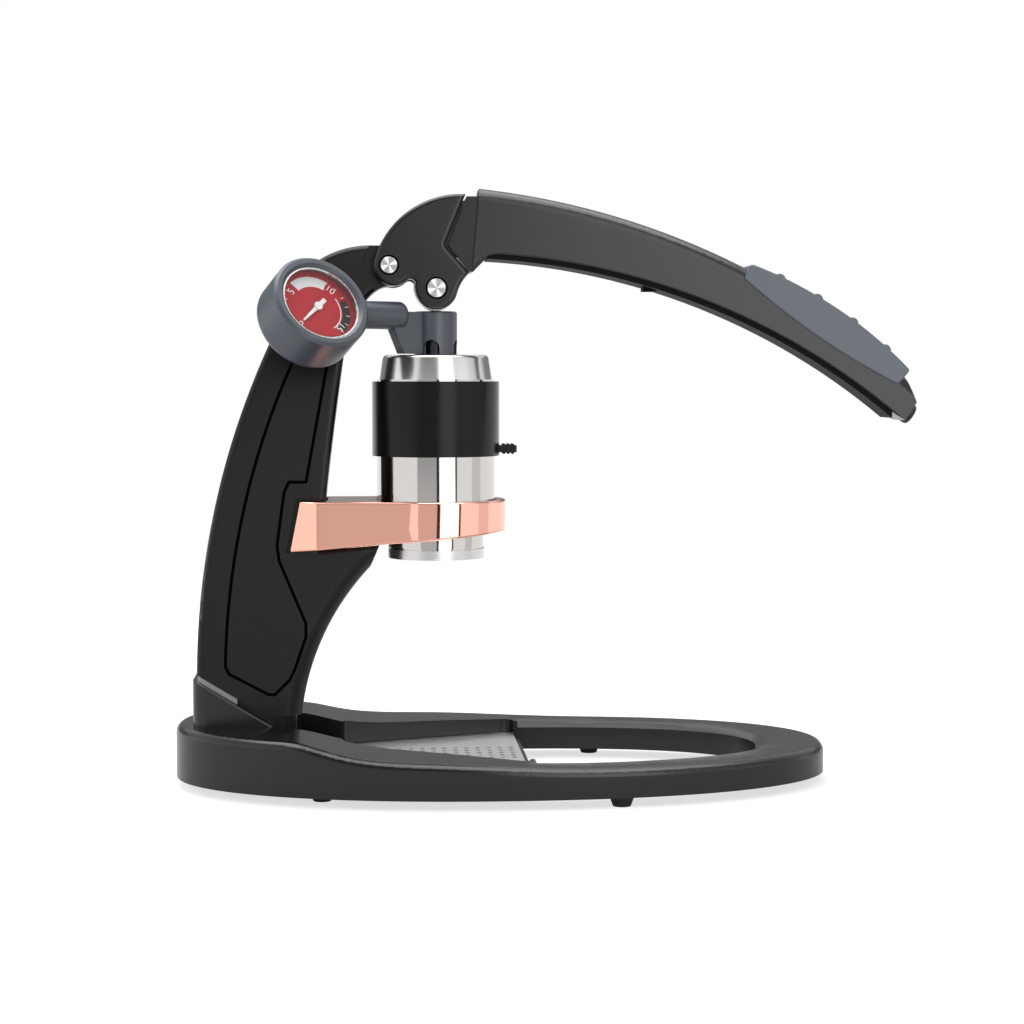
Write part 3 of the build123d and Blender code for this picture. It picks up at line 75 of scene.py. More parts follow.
class Value:
    """A number socket of a node tree, with the usual sums written as Python."""

    def __init__(self, tree: "ShaderTree", socket: bpy.types.NodeSocket) -> None:
        """Keep the socket.

        Args:
            tree: The shader tree that owns the socket.
            socket: An output socket that carries a number.
        """
        self.tree = tree
        self.socket = socket

    def _math(self, operation: str, *values: "Value | float") -> "Value":
        """Add one Math node.

        Args:
            operation: The node's operation.
            values: Its inputs, links or numbers.

        Returns:
            The node's result.
        """
        return self.tree.value("ShaderNodeMath", {"operation": operation}, dict(enumerate(values)))

    def __add__(self, other: "Value | float") -> "Value":
        """Sum."""
        return self._math("ADD", self, other)

    def __radd__(self, other: float) -> "Value":
        """Sum with a number in front."""
        return self._math("ADD", other, self)

    def __sub__(self, other: "Value | float") -> "Value":
        """Difference."""
        return self._math("SUBTRACT", self, other)

    def __rsub__(self, other: float) -> "Value":
        """Difference with a number in front."""
        return self._math("SUBTRACT", other, self)

    def __mul__(self, other: "Value | float") -> "Value":
        """Product."""
        return self._math("MULTIPLY", self, other)

    def __rmul__(self, other: float) -> "Value":
        """Product with a number in front."""
        return self._math("MULTIPLY", other, self)

    def __pow__(self, other: float) -> "Value":
        """Power."""
        return self._math("POWER", self, other)

    def __abs__(self) -> "Value":
        """Size without sign."""
        return self._math("ABSOLUTE", self)

    def maximum(self, other: "Value | float") -> "Value":
        """The larger of two."""
        return self._math("MAXIMUM", self, other)

    def root(self) -> "Value":
        """Square root."""
        return self._math("SQRT", self)

    def sine(self) -> "Value":
        """Sine."""
        return self._math("SINE", self)

    def arcsine(self) -> "Value":
        """Angle in radians whose sine this is."""
        return self._math("ARCSINE", self)

    def arctan2(self, across: "Value") -> "Value":
        """Angle in radians of the point that lies this far up and that far across."""
        return self._math("ARCTAN2", self, across)

    def sway(self, width: float) -> "Value":
        """Make a change about zero of a noise that goes from zero to one.

        Args:
            width: How far apart the ends of the change are.

        Returns:
            The change.
        """
        return (self - 0.5) * width

    def blend(self, other: "Value", share: float) -> "Value":
        """Weighted mean with another number.

        Args:
            other: The other number.
            share: Its weight, from zero to one.

        Returns:
            The mean.
        """
        return self * (1 - share) + other * share

    def above(self, edge: float, softness: float) -> "Value":
        """Mask that is one above an edge.

        Args:
            edge: Where the mask is one half.
            softness: Width over which it goes from zero to one.

        Returns:
            The mask, from zero to one.
        """
        node = {"interpolation_type": "SMOOTHSTEP"}
        limits = {"Value": self, "From Min": edge - softness / 2, "From Max": edge + softness / 2}
        return self.tree.value("ShaderNodeMapRange", node, limits)


@dataclass(frozen=True)
class Band:
    """A range of numbers with soft edges."""

    low: float
    high: float
    softness: float

    def mask(self, number: Value) -> Value:
        """Mask that is one within the band.

        Args:
            number: The number that is looked at.

        Returns:
            The mask, from zero to one.
        """
        return number.above(self.low, self.softness) * (1 - number.above(self.high, self.softness))


@dataclass(frozen=True)
class Grain:
    """Noise of one fineness: its scale per metre, octaves and the weight of the finer ones."""

    scale: float
    detail: float = 2.0
    roughness: float = 0.5


class ShaderTree:
    """The node tree of a material or of the world."""

    # A Mix node has sockets for each kind of data; these are the colours' own.
    MIX_LOW, MIX_HIGH, MIX_RESULT = 6, 7, 2

    def __init__(self, owner: bpy.types.Material | bpy.types.World) -> None:
        """Start with an empty tree.

        Args:
            owner: The material or world whose tree this is.
        """
        owner.use_nodes = True
        self.tree = owner.node_tree
        self.tree.nodes.clear()

    def node(
        self, kind: str, settings: dict[str, Any], inputs: dict[str | int, Any]
    ) -> bpy.types.Node:
        """Add a node.

        Args:
            kind: The node's type.
            settings: Its properties.
            inputs: Values or links for its sockets.

        Returns:
            The new node.
        """
        node = self.tree.nodes.new(kind)
        for name, setting in settings.items():
            setattr(node, name, setting)
        for name, given in inputs.items():
            socket = node.inputs[name]
            if isinstance(given, Value):
                self.tree.links.new(given.socket, socket)
            elif isinstance(given, bpy.types.NodeSocket):
                self.tree.links.new(given, socket)
            else:
                socket.default_value = given
        return node

    def value(self, kind: str, settings: dict[str, Any], inputs: dict[str | int, Any]) -> Value:
        """Add a node and wrap its first output, a number.

        Args:
            kind: The node's type.
            settings: Its properties.
            inputs: Values or links for its sockets.

        Returns:
            The wrapped output.
        """
        return Value(self, self.node(kind, settings, inputs).outputs[0])

    def object_coordinates(self) -> bpy.types.NodeSocket:
        """Object coordinates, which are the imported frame's own for every piece."""
        return self.node("ShaderNodeTexCoord", {}, {}).outputs["Object"]

    def placed(
        self, origin: Point, turn: Point = (0.0, 0.0, 0.0), scale: Point = (1.0, 1.0, 1.0)
    ) -> bpy.types.NodeSocket:
        """Object coordinates seen from a place of a pattern's own.

        Args:
            origin: Where the pattern's middle lies.
            turn: Euler turn of the pattern, in radians.
            scale: Stretch of the pattern.

        Returns:
            The pattern's coordinates.
        """
        here = self.object_coordinates()
        places = {"Vector": here, "Location": origin, "Rotation": turn, "Scale": scale}
        return self.node("ShaderNodeMapping", {"vector_type": "TEXTURE"}, places).outputs["Vector"]

    def parts(self, vector: bpy.types.NodeSocket) -> tuple[Value, Value, Value]:
        """Split a vector into its three numbers.

        Args:
            vector: The vector.

        Returns:
            The numbers along X, Y and Z.
        """
        node = self.node("ShaderNodeSeparateXYZ", {}, {"Vector": vector})
        return tuple(Value(self, socket) for socket in node.outputs)

    def along(self, number: Value) -> bpy.types.NodeSocket:
        """Make a vector that has a number along X and zero along Y and Z.

        Args:
            number: The number.

        Returns:
            The vector.
        """
        inputs = {"X": number, "Y": 0.0, "Z": 0.0}
        return self.node("ShaderNodeCombineXYZ", {}, inputs).outputs["Vector"]

    def ray(self, kind: str) -> Value:
        """Mask of the rays of one kind.

        Args:
            kind: Camera, Glossy or Transmission.

        Returns:
            One for such a ray and zero for any other.
        """
        return Value(self, self.node("ShaderNodeLightPath", {}, {}).outputs[f"Is {kind} Ray"])

    def noise(self, vector: bpy.types.NodeSocket, grain: Grain) -> Value:
        """Noise from zero to one.

        Args:
            vector: Its coordinates.
            grain: Its fineness.

        Returns:
            The noise.
        """
        inputs = {
            "Vector": vector,
            "Scale": grain.scale,
            "Detail": grain.detail,
            "Roughness": grain.roughness,
        }
        return self.value("ShaderNodeTexNoise", {}, inputs)

    def mix(self, factor: Value, low: Any, high: Any) -> bpy.types.NodeSocket:
        """Mix two colours.

        Args:
            factor: Share of the second colour.
            low: First colour or link.
            high: Second colour or link.

        Returns:
            The mixed colour.
        """
        low = (*low, 1.0) if isinstance(low, tuple) else low
        high = (*high, 1.0) if isinstance(high, tuple) else high
        inputs = {"Factor": factor, self.MIX_LOW: low, self.MIX_HIGH: high}
        return self.node("ShaderNodeMix", {"data_type": "RGBA"}, inputs).outputs[self.MIX_RESULT]

    def bump(self, height: Value, strength: float, depth: float) -> bpy.types.NodeSocket:
        """Bumped normal.

        Args:
            height: Height of the surface, from zero to one.
            strength: Strength of the bump.
            depth: Height that one stands for, in metres.

        Returns:
            The normal.
        """
        inputs = {"Height": height, "Strength": strength, "Distance": depth}
        return self.node("ShaderNodeBump", {}, inputs).outputs["Normal"]

    def principled(self, inputs: dict[str | int, Any]) -> None:
        """Finish a material with a Principled shader.

        Args:
            inputs: Values or links for its sockets.
        """
        shader = self.node("ShaderNodeBsdfPrincipled", {}, inputs)
        self.node("ShaderNodeOutputMaterial", {}, {"Surface": shader.outputs[0]})


def shade(colour: Colour, factor: float, lift: float = 0.0) -> Colour:
    """Make a colour darker or lighter.

    Args:
        colour: The colour.
        factor: What its channels are multiplied by.
        lift: What is added to them then.

    Returns:
        The new colour, with no channel above one.
    """
    return tuple(min(1.0, channel * factor + lift) for channel in colour)


@dataclass(frozen=True)
class Finish:
    """A finish: a name and a way to make its material."""

    name: str

    def material(self) -> bpy.types.Material:
        """Make the material, or find the one that is already made.

        Returns:
            The material.
        """
        made = bpy.data.materials.get(self.name)
        if made is None:
            made = bpy.data.materials.new(self.name)
            self.fill(ShaderTree(made))
        return made

    def fill(self, tree: ShaderTree) -> None:
        """Fill the material's tree.

        Args:
            tree: The tree, still empty.
        """
        raise NotImplementedError


@dataclass(frozen=True)
class PowderCoat(Finish):
    """Sprayed coat with a fine orange-peel skin and slight wear of its gloss."""

    colour: Colour
    gloss: float = 0.36
    peel: float = 0.05
    specular: float = 0.5
    cloud: Grain = Grain(22.0, 3.0)
    speck: Grain = Grain(1900.0)
    skin: Grain = Grain(900.0, 2.0, 0.45)
    peel_depth: float = 0.4 * MM
    speck_share: float = 0.3
    dark: float = 0.86
    light: float = 1.18
    lift: float = 0.002
    cloud_wear: float = 0.08
    speck_wear: float = 0.06

    def fill(self, tree: ShaderTree) -> None:
        """Fill the material's tree.

        Args:
            tree: The tree, still empty.
        """
        here = tree.object_coordinates()
        cloud = tree.noise(here, self.cloud)
        speck = tree.noise(here, self.speck)
        skin = tree.noise(here, self.skin)
        dark = shade(self.colour, self.dark)
        light = shade(self.colour, self.light, self.lift)
        wear = cloud.sway(self.cloud_wear), speck.sway(self.speck_wear)
        tree.principled(
            {
                "Base Color": tree.mix(cloud.blend(speck, self.speck_share), dark, light),
                "Roughness": self.gloss + wear[0] + wear[1],
                "Specular IOR Level": self.specular,
                "Normal": tree.bump(skin, self.peel, self.peel_depth),
            }
        )


@dataclass(frozen=True)
class Polished(Finish):
    """Polished metal plating with faint haze."""

    colour: Colour
    gloss: float = 0.05
    haze: Grain = Grain(60.0, 3.0)
    wave: Grain = Grain(30.0, 1.0)
    wave_strength: float = 0.02
    wave_depth: float = 1.5 * MM
    dark: float = 0.97
    wear: float = 0.03

    def fill(self, tree: ShaderTree) -> None:
        """Fill the material's tree.

        Args:
            tree: The tree, still empty.
        """
        here = tree.object_coordinates()
        haze = tree.noise(here, self.haze)
        wave = tree.noise(here, self.wave)
        tree.principled(
            {
                "Base Color": tree.mix(haze, shade(self.colour, self.dark), self.colour),
                "Metallic": 1.0,
                "Roughness": self.gloss + haze * self.wear,
                "Normal": tree.bump(wave, self.wave_strength, self.wave_depth),
            }
        )


@dataclass(frozen=True)
class Turned(Finish):
    """Metal turned on a lathe: fine rings round an upright axis."""

    colour: Colour
    axis: Pair
    gloss: float = 0.2
    lines: float = 0.12
    rise: float = 1.3  # rings passed on the way up, for each on the way out
    fine: Grain = Grain(5200.0, 2.0, 0.6)
    coarse: Grain = Grain(5200.0 / 7, 1.0)
    smear: Grain = Grain(90.0)
    smear_share: float = 0.4
    dark: float = 0.9
    fine_wear: float = 0.1
    coarse_wear: float = 0.06

    def fill(self, tree: ShaderTree) -> None:
        """Fill the material's tree.

        Args:
            tree: The tree, still empty.
        """
        x, y, z = tree.parts(tree.placed((*self.axis, 0.0)))
        reach = (x * x + y * y).root()
        along = tree.along(reach + z * self.rise)
        fine = tree.noise(along, self.fine)
        coarse = tree.noise(along, self.coarse)
        smear = tree.noise(tree.object_coordinates(), self.smear)
        dark = shade(self.colour, self.dark)
        wear = fine.sway(self.fine_wear), coarse.sway(self.coarse_wear)
        tree.principled(
            {
                "Base Color": tree.mix(fine.blend(smear, self.smear_share), dark, self.colour),
                "Metallic": 1.0,
                "Roughness": self.gloss + wear[0] + wear[1],
                "Normal": tree.bump(fine, self.lines, FINE_DEPTH),
            }
        )


@dataclass(frozen=True)
class Rolled(Finish):
    """Steel sheet with a fine grain along X."""

    colour: Colour
    gloss: float = 0.32
    stretch: Point = (30.0, 1.0, 1.0)
    grain: Grain = Grain(2600.0, 3.0, 0.6)
    cloud: Grain = Grain(35.0)
    cloud_share: float = 0.3
    dark: float = 0.86
    wear: float = 0.16
    relief: float = 0.08

    def fill(self, tree: ShaderTree) -> None:
        """Fill the material's tree.

        Args:
            tree: The tree, still empty.
        """
        grain = tree.noise(tree.placed((0.0, 0.0, 0.0), scale=self.stretch), self.grain)
        cloud = tree.noise(tree.object_coordinates(), self.cloud)
        dark = shade(self.colour, self.dark)
        tree.principled(
            {
                "Base Color": tree.mix(grain.blend(cloud, self.cloud_share), dark, self.colour),
                "Metallic": 1.0,
                "Roughness": self.gloss + grain.sway(self.wear),
                "Normal": tree.bump(grain, self.relief, FINE_DEPTH),
            }
        )


@dataclass(frozen=True)
class PinSteel(Finish):
    """End of a steel pin, faced on a lathe, with rings about its own centre and streaks of painted
    reflection round it.
    """

    centre: Pair
    # Number of bright streaks of painted reflection round the pin's end, and how sharp they are.
    glint_streaks: int = 4
    glint_power: float = 2.0
    # The colours between which the painted reflection goes.
    dark: Colour = (0.34, 0.34, 0.35)
    light: Colour = (0.92, 0.92, 0.93)
    gloss: float = 0.2
    rings: Grain = Grain(9000.0)
    wear: float = 0.14
    relief: float = 0.25

    def fill(self, tree: ShaderTree) -> None:
        """Fill the material's tree.

        Args:
            tree: The tree, still empty.
        """
        x, _, z = tree.parts(tree.placed((self.centre[0], 0.0, self.centre[1])))
        rings = tree.noise(tree.along((x * x + z * z).root()), self.rings)
        # Painted reflection: the colour swings from dark to light with the angle round the pin's
        # centre, standing in for the glints on its faced end.
        glint_streaks = ((z.arctan2(x) * self.glint_streaks).sine() * 0.5 + 0.5) ** self.glint_power
        tree.principled(
            {
                "Base Color": tree.mix(glint_streaks, self.dark, self.light),
                "Metallic": 1.0,
                "Roughness": self.gloss + rings * self.wear,
                "Normal": tree.bump(rings, self.relief, FINE_DEPTH),
            }
        )


@dataclass(frozen=True)
class Moulded(Finish):
    """Moulded rubber or plastic with a fine matt skin."""

    colour: Colour
    gloss: float = 0.55
    skin: Grain = Grain(1400.0, 3.0, 0.6)
    relief: float = 0.12
    specular: float = 0.4
    relief_depth: float = 0.3 * MM
    cloud: Grain = Grain(40.0)
    cloud_share: float = 0.5
    dark: float = 0.9
    light: float = 1.12
    lift: float = 0.003
    wear: float = 0.12

    def fill(self, tree: ShaderTree) -> None:
        """Fill the material's tree.

        Args:
            tree: The tree, still empty.
        """
        here = tree.object_coordinates()
        skin = tree.noise(here, self.skin)
        cloud = tree.noise(here, self.cloud)
        dark = shade(self.colour, self.dark)
        light = shade(self.colour, self.light, self.lift)
        tree.principled(
            {
                "Base Color": tree.mix(skin.blend(cloud, self.cloud_share), dark, light),
                "Roughness": self.gloss + skin.sway(self.wear),
                "Specular IOR Level": self.specular,
                "Normal": tree.bump(skin, self.relief, self.relief_depth),
            }
        )


@dataclass(frozen=True)
class Bronze(Finish):
    """Bronze or brass inside the machine, slightly tarnished."""

    colour: Colour = (0.55, 0.33, 0.14)
    gloss: float = 0.28
    tarnish: Grain = Grain(260.0, 4.0)
    dull: float = 0.55
    wear: float = 0.2
    relief: float = 0.1

    def fill(self, tree: ShaderTree) -> None:
        """Fill the material's tree.

        Args:
            tree: The tree, still empty.
        """
        tarnish = tree.noise(tree.object_coordinates(), self.tarnish)
        tree.principled(
            {
                "Base Color": tree.mix(tarnish, self.colour, shade(self.colour, self.dull)),
                "Metallic": 1.0,
                "Roughness": self.gloss + tarnish * self.wear,
                "Normal": tree.bump(tarnish, self.relief, FINE_DEPTH),
            }
        )


@dataclass(frozen=True)
class ClearGlass(Finish):
    """Clear glass lens with the faintest film of dust."""

    film: Grain = Grain(300.0, 3.0)
    dusty: Colour = (0.96, 0.97, 0.97)
    clear: Colour = (1.0, 1.0, 1.0)
    haze: float = 0.03
    density: float = 1.4

    def fill(self, tree: ShaderTree) -> None:
        """Fill the material's tree.

        Args:
            tree: The tree, still empty.
        """
        film = tree.noise(tree.object_coordinates(), self.film)
        tree.principled(
            {
                "Base Color": tree.mix(film, self.dusty, self.clear),
                "Roughness": film * self.haze,
                "IOR": self.density,
                "Transmission Weight": 1.0,
            }
        )


@dataclass(frozen=True)
class Stripe:
    """A stripe printed on a dial: its angles in degrees, its radii in millimetres, its colour."""

    turns: Band
    radii: Band
    colour: Colour


@dataclass(frozen=True)
class DialPrint(Finish):
    """Printed dial: red ground, white band over the top, black band and thin line on the right."""

    centre: Point
    turn: Point
    ground: tuple[Colour, Colour] = ((0.43, 0.008, 0.018), (0.5, 0.014, 0.026))
    stripes: tuple[Stripe, ...] = (
        Stripe(Band(57.0, 128.0, 0.8), Band(11.6, 17.0, 0.15), (0.86, 0.85, 0.86)),
        Stripe(Band(-52.0, 14.0, 0.8), Band(13.4, 17.4, 0.15), (0.012, 0.01, 0.012)),
        Stripe(Band(-62.0, 24.0, 0.8), Band(12.35, 12.85, 0.12), (0.88, 0.86, 0.85)),
    )
    speck: Grain = Grain(3000.0)
    gloss: float = 0.42
    wear: float = 0.06
    specular: float = 0.15

    def fill(self, tree: ShaderTree) -> None:
        """Fill the material's tree.

        Args:
            tree: The tree, still empty.
        """
        x, y, _ = tree.parts(tree.placed(self.centre, self.turn, (MM, MM, MM)))
        reach = (x * x + y * y).root()
        turn = y.arctan2(x) * DEGREES
        speck = tree.noise(tree.object_coordinates(), self.speck)
        colour = tree.mix(speck, *self.ground)
        for stripe in self.stripes:
            mask = stripe.turns.mask(turn) * stripe.radii.mask(reach)
            colour = tree.mix(mask, colour, stripe.colour)
        tree.principled(
            {
                "Base Color": colour,
                "Roughness": self.gloss + speck * self.wear,
                "Specular IOR Level": self.specular,
            }
        )


@dataclass(frozen=True)
class Plain(Finish):
    """Small printed or painted detail."""

    colour: Colour
    gloss: float = 0.4
    specular: float = 0.5
    speck: Grain = Grain(2500.0)
    light: float = 1.06
    wear: float = 0.05

    def fill(self, tree: ShaderTree) -> None:
        """Fill the material's tree.

        Args:
            tree: The tree, still empty.
        """
        speck = tree.noise(tree.object_coordinates(), self.speck)
        tree.principled(
            {
                "Base Color": tree.mix(speck, self.colour, shade(self.colour, self.light)),
                "Roughness": self.gloss + speck * self.wear,
                "Specular IOR Level": self.specular,
            }
        )


SLATE = PowderCoat("slate_coat", (0.056, 0.068, 0.086), 0.36, 0.06, 0.7)
GRAPHITE = PowderCoat("graphite_coat", (0.0055, 0.0052, 0.0068), 0.22, 0.02, 0.5)
BLACK = PowderCoat("black_coat", (0.0052, 0.0045, 0.0056), 0.34, 0.06, 0.3)
LEVER_BLACK = PowderCoat("lever_coat", (0.0065, 0.0054, 0.0078), 0.22, 0.015, 0.5)
COPPER = Polished("rose_copper", (0.96, 0.50, 0.39), 0.04)
BRIGHT = Turned("bright_steel", (0.59, 0.57, 0.55), BREW_AXIS, 0.05, 0.02)
CAP_STEEL = Turned("cap_steel", (0.72, 0.71, 0.7), BREW_AXIS, 0.2, 0.08)
BRUSHED = Turned("brushed_steel", (0.7, 0.69, 0.68), BREW_AXIS, 0.27, 0.2)
DARK_STEEL = Turned("dark_steel", (0.05, 0.055, 0.065), BREW_AXIS, 0.3, 0.1)
SHEET = Rolled("sheet_steel", (0.9, 0.91, 0.93), 0.32)
SILICONE = Moulded(
    "black_silicone", (0.003, 0.0026, 0.0034), 0.24, Grain(900.0, 3.0, 0.6), 0.02, 0.2
)
RUBBER = Moulded("black_rubber", (0.012, 0.012, 0.013), 0.6)
GRIP_RUBBER = Moulded("grip_skin", (0.1, 0.115, 0.14), 0.42, Grain(1500.0, 3.0, 0.6), 0.06, 0.7)
PLASTIC = Moulded("black_plastic", (0.011, 0.011, 0.012), 0.42)
SHIM = Moulded("grey_shim", (0.36, 0.36, 0.38), 0.45)
BRONZE = Bronze("dull_bronze")
GLASS = ClearGlass("clear_glass")
STRIP = Plain("strip_skin", (0.008, 0.0075, 0.0085), 0.5, 0.04)
WHITE_PRINT = Plain("white_print", (0.86, 0.85, 0.84))
# Near-black and without specular: painted shade, laid in the post's groove and round the pins'
# ends.
SHADOW = Plain("painted_gap_shade", (0.002, 0.002, 0.002), 0.7, 0.0)


@dataclass(frozen=True)
class Room:
    """The room round the machine, by degrees right of the way back to the camera and above level.

    Levels are brightnesses; a dip is taken from them and a gain is added.
    """

    wall_level: float = 1.2
    gap: Band = Band(-34.0, 6.5, 1.0)
    gap_dip: float = 0.5
    ceiling_gap: Band = Band(14.0, 62.0, 6.0)
    ceiling_gap_dip: float = 0.2
    skirting: Band = Band(-2.55, -0.4, 0.4)
    skirting_dip: float = 0.24
    panel_turns: Band = Band(9.0, 39.5, 0.8)
    panel_heights: Band = Band(-15.0, 44.0, 6.0)
    panel_gain: float = 1.5
    left_frame: Band = Band(3.5, 9.0, 0.8)
    right_frame: Band = Band(39.5, 43.0, 0.8)
    frame_heights: Band = Band(-50.0, 60.0, 6.0)
    frame_shade: float = 0.95
    right_wall: Band = Band(76.0, 98.0, 1.5)
    right_wall_dip: float = 0.3
    rear_edge: Pair = (120.0, 20.0)
    rear_heights: Band = Band(2.0, 20.0, 3.0)
    rear_dip: float = 0.95
    upper: Band = Band(20.0, 58.0, 8.0)
    upper_dip: float = 0.3
    ceiling_edge: Pair = (56.0, 10.0)
    ceiling_gain: float = 3.6
    plain_edge: Pair = (0.0, 60.0)
    plain_level: float = 0.62
    plain_gain: float = 0.25

    def mirrored(self, turn: Value, height: Value) -> Value:
        """Brightness of the room as mirrors see it.

        Args:
            turn: Degrees to the right of the way back to the camera.
            height: Degrees above the horizon.

        Returns:
            The brightness.
        """
        gap = self.gap.mask(turn)
        ceiling_gap = gap * self.ceiling_gap.mask(height)
        skirting = gap * self.skirting.mask(height)
        panel = self.panel_turns.mask(turn) * self.panel_heights.mask(height)
        rear = abs(turn).above(*self.rear_edge) * self.rear_heights.mask(height)
        walls = (
            self.wall_level
            - self.right_wall_dip * self.right_wall.mask(turn)
            - self.gap_dip * gap
            - self.rear_dip * rear
        )
        lit = (
            walls
            + self.panel_gain * panel
            - self.ceiling_gap_dip * ceiling_gap
            - self.upper_dip * self.upper.mask(height)
            - self.skirting_dip * skirting
        )
        frames = self.left_frame.mask(turn) + self.right_frame.mask(turn)
        framed = frames * self.frame_heights.mask(height)
        ceiling = self.ceiling_gain * height.above(*self.ceiling_edge)
        return lit * (1 - self.frame_shade * framed) + ceiling

    def plain(self, height: Value) -> Value:
        """Brightness of the room as matt surfaces see it.

        Args:
            height: Degrees above the horizon.

        Returns:
            The brightness.
        """
        return height.above(*self.plain_edge) * self.plain_gain + self.plain_level


def link(name: str, data: bpy.types.ID) -> bpy.types.Object:
    """Put a new object into the scene.

    Args:
        name: The object's name.
        data: Its mesh, curve, camera or light.

    Returns:
        The object.
    """
    made = bpy.data.objects.new(name, data)
    bpy.context.scene.collection.objects.link(made)
    return made


def facing(direction: Vector) -> Euler:
    """Turn that makes a camera or a lamp look in a direction.

    Args:
        direction: The direction.

    Returns:
        The turn.
    """
    return direction.to_track_quat("-Z", "Y").to_euler()


@dataclass(frozen=True)
class Lamp:
    """A round, soft lamp that mirrors don't show; lengths in metres, power in watts."""

    name: str
    place: Point
    target: Point
    size: float
    power: float

    def add(self) -> None:
        """Add the lamp to the scene."""
        light = bpy.data.lights.new(self.name, "AREA")
        light.shape = "DISK"
        light.size = self.size
        light.energy = self.power
        lamp = link(self.name, light)
        lamp.location = self.place
        lamp.rotation_euler = facing(Vector(self.target) - Vector(self.place))
        lamp.visible_glossy = False


@dataclass(frozen=True)
class Studio:
    """Camera, floor, lamps and the room that bright metal mirrors."""

    eye: Point = (-94.3 * MM, -1047.3 * MM, 199.4 * MM)
    yaw: float = 4.13
    pitch: float = 3.58
    focal_pixels: float = 2114.2
    image_pixels: float = 1024.0
    sensor: float = 36.0
    nearest: float = 0.01
    floor_radius: float = 0.85
    floor_segments: int = 96
    paper: Colour = (0.45, 0.45, 0.45)
    seen_glow: float = 0.68
    mirrored_glow: float = 0.22
    room: Room = Room()
    lamps: tuple[Lamp, ...] = (
        Lamp("top_lamp", (-0.25, 0.5, 1.3), (0.0, 0.0, 0.1), 1.1, 14.0),
        Lamp("side_lamp", (-1.3, -0.9, 1.0), (0.0, 0.0, 0.15), 0.9, 7.0),
    )

    def directions(self) -> tuple[Vector, Vector]:
        """Find the level directions of the room.

        Returns:
            The way back to the camera and the way to its right.
        """
        yaw = math.radians(self.yaw)
        ahead = Vector((math.sin(yaw), math.cos(yaw), 0.0))
        return -ahead, Vector((math.cos(yaw), -math.sin(yaw), 0.0))

    def add_camera(self) -> None:
        """Add the camera at the photograph's viewpoint."""
        lens = bpy.data.cameras.new("camera")
        lens.sensor_width = self.sensor
        lens.lens = self.focal_pixels / self.image_pixels * self.sensor
        lens.clip_start = self.nearest
        yaw, pitch = math.radians(self.yaw), math.radians(self.pitch)
        level = math.cos(pitch)
        camera = link("camera", lens)
        camera.location = self.eye
        camera.rotation_euler = facing(
            Vector((math.sin(yaw) * level, math.cos(yaw) * level, -math.sin(pitch)))
        )
        bpy.context.scene.camera = camera

    def add_floor(self) -> None:
        """Add a round white floor that keeps the shadow."""
        shape = bmesh.new()
        bmesh.ops.create_circle(
            shape, cap_ends=True, segments=self.floor_segments, radius=self.floor_radius
        )
        mesh = bpy.data.meshes.new("floor")
        shape.to_mesh(mesh)
        shape.free()
        floor = link("floor", mesh)
        floor.data.materials.append(self.floor_material())

    def floor_material(self) -> bpy.types.Material:
        """Make white paper that glows a little to the camera and in mirrors.

        Returns:
            The material.
        """
        material = bpy.data.materials.new("floor_paper")
        tree = ShaderTree(material)
        seen = tree.ray("Camera").maximum(tree.ray("Transmission"))
        strength = seen * self.seen_glow + tree.ray("Glossy") * self.mirrored_glow
        paper = tree.node("ShaderNodeBsdfDiffuse", {}, {"Color": (*self.paper, 1.0)})
        glow = tree.node("ShaderNodeEmission", {}, {"Color": WHITE, "Strength": strength})
        both = tree.node("ShaderNodeAddShader", {}, {0: paper.outputs[0], 1: glow.outputs[0]})
        tree.node("ShaderNodeOutputMaterial", {}, {"Surface": both.outputs[0]})
        return material

    def add_world(self) -> None:
        """Add a white room; mirrors see its panels and frames too."""
        world = bpy.data.worlds.new("room")
        bpy.context.scene.world = world
        tree = ShaderTree(world)
        x, y, z = tree.parts(tree.node("ShaderNodeTexCoord", {}, {}).outputs["Generated"])
        back, right = self.directions()
        turn = (x * right.x + y * right.y).arctan2(x * back.x + y * back.y) * DEGREES
        height = z.arcsine() * DEGREES
        camera, glossy = tree.ray("Camera"), tree.ray("Glossy")
        room = glossy * self.room.mirrored(turn, height) + (1 - glossy) * self.room.plain(height)
        strength = camera + (1 - camera) * room
        sky = tree.node("ShaderNodeBackground", {}, {"Color": WHITE, "Strength": strength})
        tree.node("ShaderNodeOutputWorld", {}, {"Surface": sky.outputs[0]})

    def build(self) -> None:
        """Add everything that isn't the machine."""
        self.add_camera()
        self.add_floor()
        self.add_world()
        for lamp in self.lamps:
            lamp.add()
        bpy.context.scene.view_settings.view_transform = "Standard"


def dress(node: str, finish: Finish) -> None:
    """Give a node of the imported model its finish.

    Args:
        node: The node's name.
        finish: The finish.
    """
    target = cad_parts[node]
    target.data.materials.clear()
    target.data.materials.append(finish.material())
    log.info("dressed %s in %s", node, finish.name)


def even_normals(target: bpy.types.Object) -> None:
    """Weigh an object's normals by face area, so that flat faces shade flat up to their edges.

    Args:
        target: The object, which gets a mesh with the weighed normals.
    """
    weigher = target.modifiers.new("even_normals", "WEIGHTED_NORMAL")
    weigher.keep_sharp = True
    graph = bpy.context.evaluated_depsgraph_get()
    weighed = bpy.data.meshes.new_from_object(
        target.evaluated_get(graph), preserve_all_data_layers=True, depsgraph=graph
    )
    plain = target.data
    target.modifiers.clear()
    target.data = weighed
    weighed.name = plain.name
    bpy.data.meshes.remove(plain)


def smooth_faces(shape: bmesh.types.BMesh) -> None:
    """Shade a shape smooth and keep its clear edges sharp.

    Args:
        shape: The shape.
    """
    limit = math.radians(CREASE)
    for face in shape.faces:
        face.smooth = True
    for edge in shape.edges:
        edge.smooth = len(edge.link_faces) == 2 and edge.calc_face_angle(0.0) < limit


